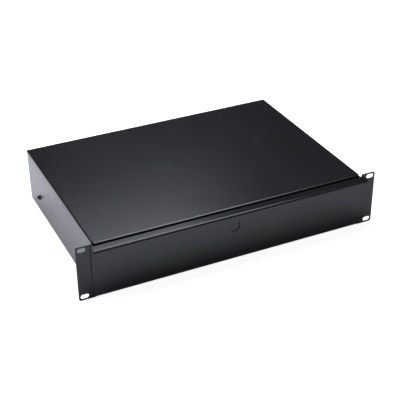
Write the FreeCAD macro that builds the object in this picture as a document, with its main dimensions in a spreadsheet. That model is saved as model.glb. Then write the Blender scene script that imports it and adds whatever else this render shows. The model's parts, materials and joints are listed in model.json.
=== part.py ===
import FreeCAD, Part
import math
import os
import Sketcher

# Sliding rack drawer for a 19 inch rack, two units high.
# Millimetres. X runs to the right, Y runs into the rack, Z is up.
# The origin is the centre of the rack bolt pattern, on the rear face of the ears.

doc = FreeCAD.newDocument("RackDrawer")
sheet = doc.addObject("Spreadsheet::Sheet", "Sizes")

# Driving dimensions: name, value and what it is
drivingSizes = [
    ("earSpan", 482.6, "width over the two rack ears"),
    ("earHeight", 88.1, "height of a two unit panel"),
    ("earReach", 25.3, "how far an ear stands out of the case"),
    ("slotInsetX", 8.75, "middle of a slot from the end of its ear"),
    ("slotInsetZ", 5.95, "middle of a slot from the top or bottom of its ear"),
    ("slotLength", 12.5, "end to end length of a rack slot"),
    ("slotHeight", 7.0, "height of a rack slot"),
    ("earCorner", 3.5, "corner radius of an ear"),
    ("earFold", 3.0, "outside radius of the fold between ear and side"),
    ("caseSheet", 1.2, "sheet of the case"),
    ("caseDepth", 306.3, "from the rear face of the ears to the back"),
    ("coverDrop", 0.7, "cover top below the top of the ears"),
    ("coverSetback", 0.8, "front flange of the cover behind the ears"),
    ("coverFlange", 10.0, "height of the front flange of the cover"),
    ("coverSkirt", 6.0, "height of the cover's sides, down to the seam"),
    ("skirtSetback", 1.5, "front of the skirt behind the side panels' front edge"),
    ("seamGap", 0.1, "seam between cover and side panel"),
    ("tongueGap", 0.3, "clearance above and before the tongue of a side panel"),
    ("tongueInset", 4.0, "tongue in front of the rear panel"),
    ("bendInside", 1.0, "inside radius of the bends"),
    ("cornerRelief", 0.8, "gap left beside a bend at a corner"),
    ("bottomFlange", 14.0, "width of the flanges that carry the base"),
    ("rearFlange", 12.0, "width of the flanges round the back"),
    ("coverHoleSide", 23.0, "cover hole from the side"),
    ("coverHoleInset", 17.6, "cover hole from the back"),
    ("coverHoleRadius", 2.3, "radius of a cover hole"),
    ("sideHoleInset", 74.5, "small hole in the side from the back"),
    ("sideHoleRise", 23.5, "small hole above the bottom"),
    ("sideHoleRadius", 1.3, "radius of the small hole"),
    ("rivetInset", 8.0, "base rivets from the outside of the case"),
    ("rivetStart", 30.0, "first base rivet from the front"),
    ("rivetEnd", 36.3, "last base rivet from the back"),
    ("rivetRadius", 1.6, "shank of a rivet"),
    ("rivetHead", 3.0, "radius of a rivet head"),
    ("rivetTail", 1.3, "height of the set end of a rivet"),
    ("holeClear", 0.1, "radial play of a fastener in its hole"),
    ("screwRadius", 1.95, "shank of an M4 fastener"),
    ("screwHead", 4.0, "radius of a pan head"),
    ("screwHeadHeight", 2.6, "height of a pan head"),
    ("screwLength", 7.0, "shank of a rear screw"),
    ("recessWidth", 0.9, "width of the cross in a screw head"),
    ("recessDepth", 1.2, "depth of the cross in a screw head"),
    ("nutFlats", 7.0, "across the flats of a nut"),
    ("nutHeight", 3.2, "height of a nut"),
    ("rearScrewX", 100.0, "rear screws from the middle"),
    ("rearScrewInset", 7.0, "rear screws from the edge of the case"),
    ("rearScrewDrop", 33.1, "rear side screws below the top of the ears"),
    ("baseFlange", 14.0, "height of the rear flange of the base"),
    ("frontSheet", 1.5, "sheet of the drawer front"),
    ("frontOverlap", 3.5, "how far the drawer front covers each ear"),
    ("frontRise", 2.5, "lower edge of the front above the bottom"),
    ("frontDrop", 1.8, "lip of the front below the top of the ears"),
    ("frontGap", 0.3, "between the closed front and the ears"),
    ("lipReach", 15.2, "how far the lip stands out from the back of the front"),
    ("hemLength", 9.0, "length of the hem under the lip"),
    ("hemGap", 1.0, "gap inside the hem"),
    ("lockDrop", 29.5, "centre of the lock knock-out below the top of the ears"),
    ("lockRadius", 9.5, "radius of the lock knock-out"),
    ("lockFlats", 16.2, "across the flats of the lock knock-out"),
    ("lockOffset", 0.8, "how far the knock-out is pushed back"),
    ("lockSlit", 0.7, "width of the slit beside the knock-out"),
    ("lockSlitEnd", 3.5, "end of the slit left of the middle"),
    ("lockNotch", 26.0, "width of the notch for a lock in the tray"),
    ("lockNotchBelow", 13.6, "bottom of that notch below the middle of the lock"),
    ("studLength", 7.0, "weld studs of the front"),
    ("studOuterX", 150.0, "outer studs from the middle"),
    ("studInnerX", 50.0, "inner studs from the middle"),
    ("studLowRise", 20.0, "lower studs above the bottom"),
    ("studHighDrop", 28.1, "upper studs below the top of the ears"),
    ("traySheet", 1.2, "sheet of the tray"),
    ("trayRise", 5.0, "underside of the tray above the bottom"),
    ("trayDrop", 18.1, "top of the tray walls below the top of the ears"),
    ("trayBackGap", 5.0, "back of the tray in front of the back of the slides"),
    ("trayFlange", 6.0, "width of the flanges along the tray walls"),
    ("slideThickness", 12.7, "between case and tray"),
    ("slideHeight", 35.0, "height of a slide"),
    ("slideRise", 26.0, "centre of a slide above the bottom"),
    ("slideBackGap", 2.4, "between the back of a slide and the rear panel"),
    ("slideInset", 3.0, "front end of a slide behind the drawer front"),
    ("middleInset", 2.5, "front end of the middle member behind the others"),
    ("slideSheet", 1.5, "sheet of the slide members"),
    ("slideTip", 10.7, "tips of the outer flanges from the case"),
    ("innerTip", 6.0, "tips of the inner flanges from the case"),
    ("slideBend", 2.0, "outside radius of the slide bends"),
    ("ballRadius", 2.0, "radius of a ball"),
    ("ballPlay", 0.15, "play of a ball in its track and cage"),
    ("ballRow", 7.9, "ball rows from the case"),
    ("grooveDepth", 0.35, "depth of a ball track"),
    ("cageSheet", 0.7, "sheet of a ball cage"),
    ("cageGap", 0.4, "between a cage and the webs beside it"),
    ("cageFrontGap", 1.8, "between stop pin and inner cage at full travel"),
    ("cageEndGap", 0.2, "middle member behind the outer cage at full travel"),
    ("ballInset", 8.0, "first and last ball from the ends of a cage"),
    ("bumperLength", 6.0, "length of a rear bumper"),
    ("bumperReach", 4.0, "thickness of a rear bumper"),
    ("bumperHeight", 16.0, "height of a rear bumper"),
    ("bumperGap", 0.3, "between bumper and middle member"),
    ("boltFrontY", 38.0, "front fixing of a slide"),
    ("boltRearInset", 52.3, "rear fixing of a slide from the back of the case"),
    ("boltHead", 3.4, "radius of the flat head of a slide bolt"),
    ("boltHeadHeight", 0.8, "height of the flat head of a slide bolt"),
    ("boltReach", 6.0, "how far a slide bolt stands out of the case"),
    ("systemPitch", 32.0, "between the spare holes of a slide"),
    ("systemRadius", 2.2, "radius of a spare hole"),
    ("trayScrewMidY", 110.0, "middle screws of the tray"),
    ("trayScrewHead", 1.8, "height of the head of a tray screw"),
    ("leverSheet", 1.8, "thickness of the release lever"),
    ("leverFront", 22.0, "lever in front of its pivot"),
    ("leverHook", 15.5, "front of the hook behind the pivot"),
    ("leverHookLength", 4.0, "length of the hook"),
    ("leverPlay", 0.2, "between lever and web"),
    ("stopGap", 0.3, "between hook and stop pin at full travel"),
    ("pivotRadius", 1.5, "shank of the pivot rivet"),
    ("pivotHead", 2.5, "head of the pivot rivet"),
    ("pivotHeadHeight", 0.6, "height of that head"),
    ("stopInset", 10.0, "stop pin from the front of the middle member"),
    ("stopRadius", 1.2, "radius of the stop pin"),
    ("hookRoom", 1.6, "between the hook and the lower flange of the inner member"),
    ("stopTip", 8.0, "tip of the stop pin from the case"),
]

for row, (alias, number, note) in enumerate(drivingSizes, start=1):
    sheet.set(f"A{row}", alias)
    sheet.set(f"B{row}", str(number))
    sheet.set(f"C{row}", note)
    sheet.setAlias(f"B{row}", alias)
doc.recompute()


class Size:
    """A number together with the sheet expression that gives it."""

    def __init__(self, number, text):
        self.number = number
        self.text = text

    def __add__(self, other):
        other = asSize(other)
        return Size(self.number + other.number, f"({self.text} + {other.text})")

    def __sub__(self, other):
        other = asSize(other)
        return Size(self.number - other.number, f"({self.text} - {other.text})")

    def __mul__(self, other):
        other = asSize(other)
        return Size(self.number * other.number, f"({self.text} * {other.text})")

    def __truediv__(self, other):
        other = asSize(other)
        return Size(self.number / other.number, f"({self.text} / {other.text})")

    def __neg__(self):
        return Size(-self.number, f"(0 - {self.text})")

    def root(self):
        return Size(math.sqrt(self.number), f"sqrt({self.text})")


def asSize(value):
    if isinstance(value, Size):
        return value
    return Size(float(value), f"({float(value):.9f})")


class SheetSizes:
    """Gives each alias of the sheet as a Size."""

    def __getattr__(self, alias):
        return Size(float(sheet.get(alias)), f"Sizes.{alias}")


size = SheetSizes()
nodes = []


def newBody(name):
    body = doc.addObject("PartDesign::Body", name)
    body.Label = name
    nodes.append(body)
    return body


def newSketch(body, name, plane, offset):
    """Empty sketch on a plane of the body, moved along the plane's normal."""
    sketch = body.newObject("Sketcher::SketchObject", name)
    origins = {feature.Role: feature for feature in body.Origin.OriginFeatures}
    sketch.AttachmentSupport = (origins[plane], "")
    sketch.MapMode = "FlatFace"
    sketch.setExpression("AttachmentOffset.Base.z", offset.text)
    return sketch


def drive(sketch, constraint, expression):
    """Adds a constraint whose value comes from the sheet."""
    index = sketch.addConstraint(constraint)
    sketch.setExpression(f"Constraints[{index}]", expression.text)


def loop(sketch, points, arcs=None):
    """Closed loop through the points; arcs maps an edge number to (radius, counterclockwise)."""
    arcs = arcs or {}
    count = len(points)
    starts = []
    ends = []
    for index in range(count):
        here = FreeCAD.Vector(points[index][0].number, points[index][1].number, 0)
        after = points[(index + 1) % count]
        there = FreeCAD.Vector(after[0].number, after[1].number, 0)
        if index in arcs:
            radius, turnsLeft = arcs[index]
            first, last = (here, there) if turnsLeft else (there, here)
            half = (last - first) * 0.5
            height = math.sqrt(max(radius.number ** 2 - half.Length ** 2, 0))
            side = FreeCAD.Vector(-half.y, half.x, 0).normalize()
            centre = first + half + side * height
            startAngle = math.atan2(first.y - centre.y, first.x - centre.x)
            endAngle = math.atan2(last.y - centre.y, last.x - centre.x)
            if endAngle < startAngle:
                endAngle += 2 * math.pi
            circle = Part.Circle(centre, FreeCAD.Vector(0, 0, 1), radius.number)
            geometry = sketch.addGeometry(Part.ArcOfCircle(circle, startAngle, endAngle), False)
            starts.append((geometry, 1 if turnsLeft else 2))
            ends.append((geometry, 2 if turnsLeft else 1))
            if height < 1e-6:
                holdMiddle(sketch, geometry, points[index], after)
            else:
                drive(sketch, Sketcher.Constraint("Radius", geometry, radius.number), radius)
        else:
            geometry = sketch.addGeometry(Part.LineSegment(here, there), False)
            starts.append((geometry, 1))
            ends.append((geometry, 2))
    for index in range(count):
        following = starts[(index + 1) % count]
        sketch.addConstraint(Sketcher.Constraint("Coincident", *ends[index], *following))
    for start, (u, v) in zip(starts, points):
        drive(sketch, Sketcher.Constraint("DistanceX", -1, 1, *start, u.number), u)
        drive(sketch, Sketcher.Constraint("DistanceY", -1, 1, *start, v.number), v)


def holdMiddle(sketch, geometry, start, end):
    """Holds the centre of a half circle, across the line between its ends."""
    axis = 0 if abs(start[0].number - end[0].number) < 1e-6 else 1
    middle = (start[axis] + end[axis]) / 2
    kind = ("DistanceX", "DistanceY")[axis]
    drive(sketch, Sketcher.Constraint(kind, -1, 1, geometry, 3, middle.number), middle)


def outline(sketch, corners):
    """Loop whose edges run along the sketch axes; a corner with a third value is rounded to it."""
    points = []
    arcs = {}
    for index, corner in enumerate(corners):
        u, v = asSize(corner[0]), asSize(corner[1])
        if len(corner) == 2:
            if not points or not isSame(points[-1], (u, v)):
                points.append((u, v))
            continue
        radius = asSize(corner[2])
        before = direction(corners[index - 1], corner)
        after = direction(corner, corners[(index + 1) % len(corners)])
        first = (u - radius * before[0], v - radius * before[1])
        last = (u + radius * after[0], v + radius * after[1])
        if points and isSame(points[-1], first):
            points.pop()
        turnsLeft = before[0] * after[1] - before[1] * after[0] > 0
        arcs[len(points)] = (radius, turnsLeft)
        points += [first, last]
    if isSame(points[0], points[-1]):
        points.pop()
    loop(sketch, points, arcs)


def isSame(one, other):
    """True where two points meet, as at the end of an arc or the middle of a full round."""
    return all(abs(a.number - b.number) < 1e-6 for a, b in zip(one, other))


def direction(start, end):
    """Signs of the step from one corner to the next."""
    steps = [asSize(end[axis]).number - asSize(start[axis]).number for axis in (0, 1)]
    return [0 if abs(step) < 1e-9 else math.copysign(1, step) for step in steps]


def rectangle(left, low, right, high):
    """Draws one rectangle with outline, whatever the order of its sides."""
    return lambda sketch: outline(sketch, [(left, low), (right, low), (right, high), (left, high)])


def rounds(centres, radius):
    """Draws a circle of the same radius at each centre."""
    def draw(sketch):
        for u, v in centres:
            u, v = asSize(u), asSize(v)
            centre = FreeCAD.Vector(u.number, v.number, 0)
            circle = Part.Circle(centre, FreeCAD.Vector(0, 0, 1), radius.number)
            geometry = sketch.addGeometry(circle, False)
            drive(sketch, Sketcher.Constraint("Radius", geometry, radius.number), radius)
            drive(sketch, Sketcher.Constraint("DistanceX", -1, 1, geometry, 3, u.number), u)
            drive(sketch, Sketcher.Constraint("DistanceY", -1, 1, geometry, 3, v.number), v)
    return draw


def hexagons(centres, flats):
    """Draws a hexagon across the given flats at each centre."""
    def draw(sketch):
        for u, v in centres:
            u, v = asSize(u), asSize(v)
            corners = []
            for step in range(6):
                angle = math.radians(60 * step)
                reach = flats / math.sqrt(3)
                corners.append((u + reach * math.cos(angle), v + reach * math.sin(angle)))
            loop(sketch, corners)
    return draw


def slots(centres, length, height):
    """Draws a slot with round ends, lying along the first axis, at each centre."""
    def draw(sketch):
        for u, v in centres:
            u, v = asSize(u), asSize(v)
            radius = height / 2
            reach = length / 2 - radius
            points = [(u - reach, v - radius), (u + reach, v - radius),
                      (u + reach, v + radius), (u - reach, v + radius)]
            loop(sketch, points, {1: (radius, True), 3: (radius, True)})
    return draw


def crosses(centres, reach, width):
    """Draws the cross of a screw recess at each centre."""
    def draw(sketch):
        arm = width / 2
        for u, v in centres:
            u, v = asSize(u), asSize(v)
            steps = [(arm, reach), (-arm, reach), (-arm, arm), (-reach, arm),
                     (-reach, -arm), (-arm, -arm), (-arm, -reach), (arm, -reach),
                     (arm, -arm), (reach, -arm), (reach, arm), (arm, arm)]
            loop(sketch, [(u + du, v + dv) for du, dv in steps])
    return draw


def inOrder(one, other):
    one, other = asSize(one), asSize(other)
    return (one, other) if one.number < other.number else (other, one)


def add(body, name, plane, draw, one, other):
    """Pad of a drawing between two positions along the axis of the plane."""
    near, far = inOrder(one, other)
    offset = -far if plane == "XZ_Plane" else near
    sketch = newSketch(body, f"{name}_sketch", plane, offset)
    draw(sketch)
    pad = body.newObject("PartDesign::Pad", name)
    pad.Profile = sketch
    pad.Length = (far - near).number
    pad.setExpression("Length", (far - near).text)
    doc.recompute()
    return pad


def cut(body, name, plane, draw, one, other):
    """Pocket of a drawing between two positions along the axis of the plane."""
    before = body.Shape.Volume
    near, far = inOrder(one, other)
    offset = -near if plane == "XZ_Plane" else far
    sketch = newSketch(body, f"{name}_sketch", plane, offset)
    draw(sketch)
    pocket = body.newObject("PartDesign::Pocket", name)
    pocket.Profile = sketch
    pocket.Length = (far - near).number
    pocket.setExpression("Length", (far - near).text)
    doc.recompute()
    if body.Shape.Volume > before - 1e-6:
        raise RuntimeError(f"{body.Label}: {name} cuts nothing")
    return pocket


# Levels and lines that several pieces share
bottom = -size.earHeight / 2
bendOutside = size.bendInside + size.caseSheet
caseHalf = size.earSpan / 2 - size.earReach
caseInner = caseHalf - size.caseSheet
coverTop = size.earHeight / 2 - size.coverDrop
seam = coverTop - size.coverSkirt
reliefTop = coverTop - bendOutside - size.cornerRelief
wrapFront = size.coverSetback + bendOutside
wrapBack = size.caseDepth - bendOutside
skirtFront = wrapFront + size.skirtSetback
earFront = -size.caseSheet
frontBack = earFront - size.frontGap
frontFace = frontBack - size.frontSheet
lipTop = size.earHeight / 2 - size.frontDrop
panelBack = size.caseDepth - size.caseSheet
panelFront = panelBack - size.caseSheet
trayHalf = caseInner - size.slideThickness
slideFront = frontBack + size.slideInset
slideBack = panelFront - size.slideBackGap
travel = slideBack - slideFront
slideMid = bottom + size.slideRise
trayLow = bottom + size.trayRise
trayHigh = size.earHeight / 2 - size.trayDrop
trayBack = slideBack - size.trayBackGap
lockMiddle = size.earHeight / 2 - size.lockDrop
boltRearY = size.caseDepth - size.boltRearInset
rivetRows = range(4)
ballRows = range(8)

boltHole = size.screwRadius + size.holeClear
slideFixings = [size.boltFrontY, boltRearY]
rivetPitch = (size.caseDepth - size.rivetStart - size.rivetEnd) / 3
rivetPlaces = [(across * (caseHalf - size.rivetInset), size.rivetStart + rivetPitch * row)
               for across in (asSize(-1), asSize(1)) for row in rivetRows]
coverScrews = [(-size.rearScrewX, coverTop - size.rearScrewInset),
               (size.rearScrewX, coverTop - size.rearScrewInset)]
sideScrews = [(size.rearScrewInset - caseHalf, size.earHeight / 2 - size.rearScrewDrop),
              (caseHalf - size.rearScrewInset, size.earHeight / 2 - size.rearScrewDrop)]
flangeScrews = coverScrews + sideScrews
baseScrewRise = bottom + size.caseSheet + size.baseFlange / 2 + size.bendInside
baseScrews = [(-size.rearScrewX, baseScrewRise), (size.rearScrewX, baseScrewRise)]
studs = [(-size.studOuterX, bottom + size.studLowRise),
         (size.studOuterX, bottom + size.studLowRise),
         (-size.studOuterX, size.earHeight / 2 - size.studHighDrop),
         (size.studOuterX, size.earHeight / 2 - size.studHighDrop),
         (-size.studInnerX, bottom + size.studLowRise),
         (size.studInnerX, bottom + size.studLowRise)]


def cover():
    """Top of the case with a short skirt each side and a flange front and back."""
    thick = size.caseSheet
    body = newBody("cover")
    section = [(-caseHalf, seam), (-caseHalf, coverTop, bendOutside),
               (caseHalf, coverTop, bendOutside), (caseHalf, seam), (caseInner, seam),
               (caseInner, coverTop - thick, size.bendInside),
               (-caseInner, coverTop - thick, size.bendInside), (-caseInner, seam)]
    add(body, "wrap", "XZ_Plane", lambda sketch: outline(sketch, section), skirtFront, wrapBack)
    for side, label in ((asSize(-1), "left"), (asSize(1), "right")):
        bend = [(side * caseHalf, coverTop - bendOutside), (side * caseHalf, coverTop, bendOutside),
                (side * (caseHalf - bendOutside), coverTop),
                (side * (caseHalf - bendOutside), coverTop - thick),
                (side * caseInner, coverTop - thick, size.bendInside),
                (side * caseInner, coverTop - bendOutside)]
        add(body, f"{label}_bend_end", "XZ_Plane", lambda sketch: outline(sketch, bend),
            wrapBack - thick, size.caseDepth)
    flangeEnd = caseHalf - bendOutside - size.cornerRelief
    front = [(size.coverSetback, coverTop - size.coverFlange),
             (size.coverSetback, coverTop, bendOutside), (skirtFront + thick, coverTop),
             (skirtFront + thick, coverTop - thick),
             (size.coverSetback + thick, coverTop - thick, size.bendInside),
             (size.coverSetback + thick, coverTop - size.coverFlange)]
    add(body, "front_flange", "YZ_Plane", lambda sketch: outline(sketch, front),
        -flangeEnd, flangeEnd)
    rear = [(size.caseDepth, coverTop - size.rearFlange),
            (size.caseDepth, coverTop, bendOutside), (wrapBack - thick, coverTop),
            (wrapBack - thick, coverTop - thick), (panelBack, coverTop - thick, size.bendInside),
            (panelBack, coverTop - size.rearFlange)]
    add(body, "rear_flange", "YZ_Plane", lambda sketch: outline(sketch, rear),
        -flangeEnd, flangeEnd)
    coverHoles = [(across * (caseHalf - size.coverHoleSide), size.caseDepth - size.coverHoleInset)
                  for across in (asSize(-1), asSize(1))]
    cut(body, "cover_holes", "XY_Plane", rounds(coverHoles, size.coverHoleRadius),
        coverTop - thick, coverTop)
    cut(body, "rear_screw_holes", "XZ_Plane", rounds(coverScrews, boltHole),
        panelBack, size.caseDepth)


def sidePanel(side, label):
    """Side of the case with its ear, its lower and rear flange and a set-in tongue."""
    thick = size.caseSheet
    body = newBody(f"{label}_side_panel")
    seamLow = seam - size.seamGap
    flangeTip = caseHalf - size.bottomFlange
    wall = [(side * flangeTip, bottom), (side * caseHalf, bottom, bendOutside),
            (side * caseHalf, seamLow), (side * caseInner, seamLow),
            (side * caseInner, bottom + thick, size.bendInside),
            (side * flangeTip, bottom + thick)]
    add(body, "wall", "XZ_Plane", lambda sketch: outline(sketch, wall), wrapFront, wrapBack)
    tongueTop = coverTop - bendOutside - size.tongueGap
    tongue = rectangle(side * caseInner, seamLow - thick, side * (caseInner - thick), tongueTop)
    add(body, "tongue", "XZ_Plane", tongue, skirtFront, panelFront - size.tongueInset)
    foldInner = size.earFold - thick
    foldBack = skirtFront - size.tongueGap
    fold = [(side * (size.earSpan / 2 - size.earCorner), earFront),
            (side * caseInner, earFront, size.earFold), (side * caseInner, foldBack),
            (side * caseHalf, foldBack), (side * caseHalf, 0, foldInner),
            (side * (size.earSpan / 2 - size.earCorner), 0)]
    add(body, "fold", "XY_Plane", lambda sketch: outline(sketch, fold), bottom, reliefTop)
    plateInner = side * (caseInner + size.earFold)
    plate = [(plateInner, bottom), (side * size.earSpan / 2, bottom, size.earCorner),
             (side * size.earSpan / 2, -bottom, size.earCorner), (plateInner, -bottom)]
    add(body, "ear", "XZ_Plane", lambda sketch: outline(sketch, plate), earFront, 0)
    rearInner = side * (caseHalf - size.rearFlange)
    rear = [(side * caseHalf, wrapBack), (side * caseHalf, size.caseDepth, bendOutside),
            (rearInner, size.caseDepth), (rearInner, panelBack),
            (side * caseInner, panelBack, size.bendInside), (side * caseInner, wrapBack)]
    rearLow = bottom + bendOutside + size.cornerRelief
    rearHigh = coverTop - size.rearFlange - size.seamGap
    add(body, "rear_flange", "XY_Plane", lambda sketch: outline(sketch, rear), rearLow, rearHigh)
    rackSlots = [(side * (size.earSpan / 2 - size.slotInsetX),
                  up * (size.earHeight / 2 - size.slotInsetZ)) for up in (asSize(-1), asSize(1))]
    cut(body, "rack_slots", "XZ_Plane", slots(rackSlots, size.slotLength, size.slotHeight),
        earFront, 0)
    fixings = [(place, slideMid) for place in slideFixings]
    inside, outside = side * caseInner, side * caseHalf
    cut(body, "slide_holes", "YZ_Plane", rounds(fixings, boltHole), inside, outside)
    spare = [(size.caseDepth - size.sideHoleInset, bottom + size.sideHoleRise)]
    cut(body, "side_hole", "YZ_Plane", rounds(spare, size.sideHoleRadius), inside, outside)
    rivets = [place for place in rivetPlaces if place[0].number * side.number > 0]
    cut(body, "rivet_holes", "XY_Plane", rounds(rivets, size.rivetRadius + size.holeClear),
        bottom, bottom + thick)
    cut(body, "rivet_seats", "XY_Plane", rounds(rivets, size.rivetHead + size.holeClear),
        bottom, bottom + thick / 2)
    screws = [place for place in sideScrews if place[0].number * side.number > 0]
    cut(body, "rear_screw_hole", "XZ_Plane", rounds(screws, boltHole), panelBack, size.caseDepth)


def caseBase():
    """Base plate on the lower flanges, turned up along the back."""
    thick = size.caseSheet
    body = newBody("case_base")
    low = bottom + thick
    profile = [(wrapFront, low), (panelFront, low, bendOutside),
               (panelFront, low + size.baseFlange), (panelFront - thick, low + size.baseFlange),
               (panelFront - thick, low + thick, size.bendInside), (wrapFront, low + thick)]
    edge = caseInner - size.bendInside - size.holeClear
    add(body, "plate", "YZ_Plane", lambda sketch: outline(sketch, profile), -edge, edge)
    cut(body, "rivet_holes", "XY_Plane", rounds(rivetPlaces, size.rivetRadius + size.holeClear),
        low, low + thick)
    cut(body, "screw_holes", "XZ_Plane", rounds(baseScrews, boltHole),
        panelFront - thick, panelFront)


def rearPanel():
    """Flat panel that closes the back from inside the rear flanges."""
    body = newBody("rear_panel")
    edge = caseInner - size.bendInside
    low = bottom + bendOutside
    high = coverTop - bendOutside
    add(body, "panel", "XZ_Plane", rectangle(-edge, low, edge, high), panelFront, panelBack)
    cut(body, "screw_holes", "XZ_Plane", rounds(flangeScrews + baseScrews, boltHole),
        panelFront, panelBack)


def baseRivets():
    """Flush rivets that hold the base plate to the lower flanges."""
    body = newBody("base_rivets")
    top = bottom + size.caseSheet * 2
    add(body, "shanks", "XY_Plane", rounds(rivetPlaces, size.rivetRadius), bottom, top)
    add(body, "heads", "XY_Plane", rounds(rivetPlaces, size.rivetHead),
        bottom, bottom + size.caseSheet / 2)
    add(body, "tails", "XY_Plane", rounds(rivetPlaces, size.rivetHead - size.holeClear * 4),
        top, top + size.rivetTail)


def panHeads(body, name, plane, places, seat, outwards):
    """Heads with a cross recess, standing on a seat."""
    crown = seat + size.screwHeadHeight * outwards
    add(body, f"{name}_heads", plane, rounds(places, size.screwHead), seat, crown)
    floor = crown - size.recessDepth * outwards
    cut(body, f"{name}_recesses", plane,
        crosses(places, size.screwHead / 2, size.recessWidth), floor, crown)


def rearFasteners():
    """Screws through the rear panel, and the nuts in front of it."""
    screws = newBody("rear_screws")
    add(screws, "flange_shanks", "XZ_Plane", rounds(flangeScrews, size.screwRadius),
        size.caseDepth - size.screwLength, size.caseDepth)
    add(screws, "base_shanks", "XZ_Plane", rounds(baseScrews, size.screwRadius),
        panelBack - size.screwLength, panelBack)
    panHeads(screws, "flange", "XZ_Plane", flangeScrews, size.caseDepth, 1)
    panHeads(screws, "base", "XZ_Plane", baseScrews, panelBack, 1)
    nuts = newBody("rear_nuts")
    baseSeat = panelFront - size.caseSheet
    add(nuts, "flange_nuts", "XZ_Plane", hexagons(flangeScrews, size.nutFlats),
        panelFront - size.nutHeight, panelFront)
    add(nuts, "base_nuts", "XZ_Plane", hexagons(baseScrews, size.nutFlats),
        baseSeat - size.nutHeight, baseSeat)
    cut(nuts, "threads", "XZ_Plane", rounds(flangeScrews + baseScrews, boltHole),
        baseSeat - size.nutHeight, panelFront)


def slideBolts():
    """Flat head bolts out through the case sides, and the nuts on them."""
    places = [(place, slideMid) for place in slideFixings]
    bolts = newBody("slide_bolts")
    nuts = newBody("slide_bolt_nuts")
    for side, label in ((asSize(-1), "left"), (asSize(1), "right")):
        headSeat = side * (caseInner - size.slideSheet + size.boltHeadHeight)
        add(bolts, f"{label}_shanks", "YZ_Plane", rounds(places, size.screwRadius),
            headSeat, side * (caseHalf + size.boltReach))
        add(bolts, f"{label}_heads", "YZ_Plane", rounds(places, size.boltHead),
            headSeat, side * (caseInner - size.slideSheet))
        add(nuts, f"{label}_nuts", "YZ_Plane", hexagons(places, size.nutFlats),
            side * caseHalf, side * (caseHalf + size.nutHeight))
    cut(nuts, "threads", "YZ_Plane", rounds(places, boltHole),
        -(caseHalf + size.nutHeight), caseHalf + size.nutHeight)


# Heights of the nested slide members above and below the middle of the slide
outerFloor = size.slideHeight / 2 - size.slideSheet
outerBalls = outerFloor + size.grooveDepth - size.ballPlay - size.ballRadius
middleTop = outerBalls - size.ballRadius - size.ballPlay + size.grooveDepth
middleFloor = middleTop - size.slideSheet
innerBalls = middleFloor + size.grooveDepth - size.ballPlay - size.ballRadius
innerTop = innerBalls - size.ballRadius - size.ballPlay + size.grooveDepth
stopDrop = innerTop - size.slideSheet - size.hookRoom - size.stopRadius
middleWeb = size.slideSheet + size.cageGap * 2 + size.cageSheet
innerCageWeb = middleWeb + size.slideSheet + size.cageGap
ballTrack = size.ballRadius + size.ballPlay
middleFront = slideFront + size.middleInset
middleBack = slideBack - size.bumperLength - size.bumperGap
stopBack = middleFront + size.stopInset + size.stopRadius
cageFront = stopBack + size.cageFrontGap + travel / 4
cageBack = middleBack - travel / 4 - size.cageEndGap
firstBall = cageFront + size.ballInset
ballPitch = (cageBack - cageFront - size.ballInset * 2) / 7
leverPivotY = stopBack + size.stopGap + travel / 2 - size.leverHook


def across(side, distance):
    """X of a point at a distance from the inside of the case."""
    return side * (caseInner - distance)


def channel(side, web, tip, high, thick, bend):
    """Channel section: a web at one distance, flanges that reach to another."""
    inward = 1 if tip.number > web.number else -1
    innerWeb = web + thick * inward
    inside = bend - thick
    corners = [(tip, -high), (web, -high, bend), (web, high, bend), (tip, high),
               (tip, high - thick)]
    if inside.number > 0:
        corners += [(innerWeb, high - thick, inside), (innerWeb, thick - high, inside)]
    else:
        corners += [(innerWeb, high - thick), (innerWeb, thick - high)]
    corners += [(tip, thick - high)]
    placed = [(across(side, corner[0]), slideMid + corner[1], *corner[2:]) for corner in corners]
    return lambda sketch: outline(sketch, placed)


def tracks(side, height):
    """Centres of an upper and a lower ball row in the section of the slide."""
    return [(across(side, size.ballRow), slideMid + height),
            (across(side, size.ballRow), slideMid - height)]


def outerMember(side, label):
    """Slide member on the case, open towards the drawer."""
    body = newBody(f"{label}_outer_member")
    section = channel(side, asSize(0), size.slideTip, size.slideHeight / 2, size.slideSheet,
                      size.slideBend)
    add(body, "section", "XZ_Plane", section, slideFront, slideBack)
    cut(body, "tracks", "XZ_Plane", rounds(tracks(side, outerBalls), ballTrack),
        slideFront, slideBack)
    places = [(place, slideMid) for place in slideFixings]
    cut(body, "bolt_holes", "YZ_Plane", rounds(places, boltHole),
        across(side, 0), across(side, size.slideSheet))
    cut(body, "head_seats", "YZ_Plane", rounds(places, size.boltHead + size.holeClear),
        across(side, size.slideSheet - size.boltHeadHeight), across(side, size.slideSheet))
    spares = [(size.boltFrontY + size.systemPitch * step, slideMid) for step in range(1, 6)]
    cut(body, "spare_holes", "YZ_Plane", rounds(spares, size.systemRadius),
        across(side, 0), across(side, size.slideSheet))


def rearBumper(side, label):
    """Rubber block in the back end of the outer member."""
    body = newBody(f"{label}_rear_bumper")
    half = size.bumperHeight / 2
    block = rectangle(across(side, size.slideSheet), slideMid - half,
                      across(side, size.slideSheet + size.bumperReach), slideMid + half)
    add(body, "block", "XZ_Plane", block, slideBack - size.bumperLength, slideBack)


def middleMember(side, label):
    """Slide member between the two ball cages, with the stop pin of the lever."""
    body = newBody(f"{label}_middle_member")
    section = channel(side, middleWeb, size.slideTip, middleTop, size.slideSheet, size.slideBend)
    add(body, "section", "XZ_Plane", section, middleFront, middleBack)
    pin = [(middleFront + size.stopInset, slideMid - stopDrop)]
    add(body, "stop_pin", "YZ_Plane", rounds(pin, size.stopRadius),
        across(side, middleWeb + size.slideSheet / 2), across(side, size.stopTip))
    rows = tracks(side, outerBalls) + tracks(side, innerBalls)
    cut(body, "tracks", "XZ_Plane", rounds(rows, ballTrack), middleFront, middleBack)


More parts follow.
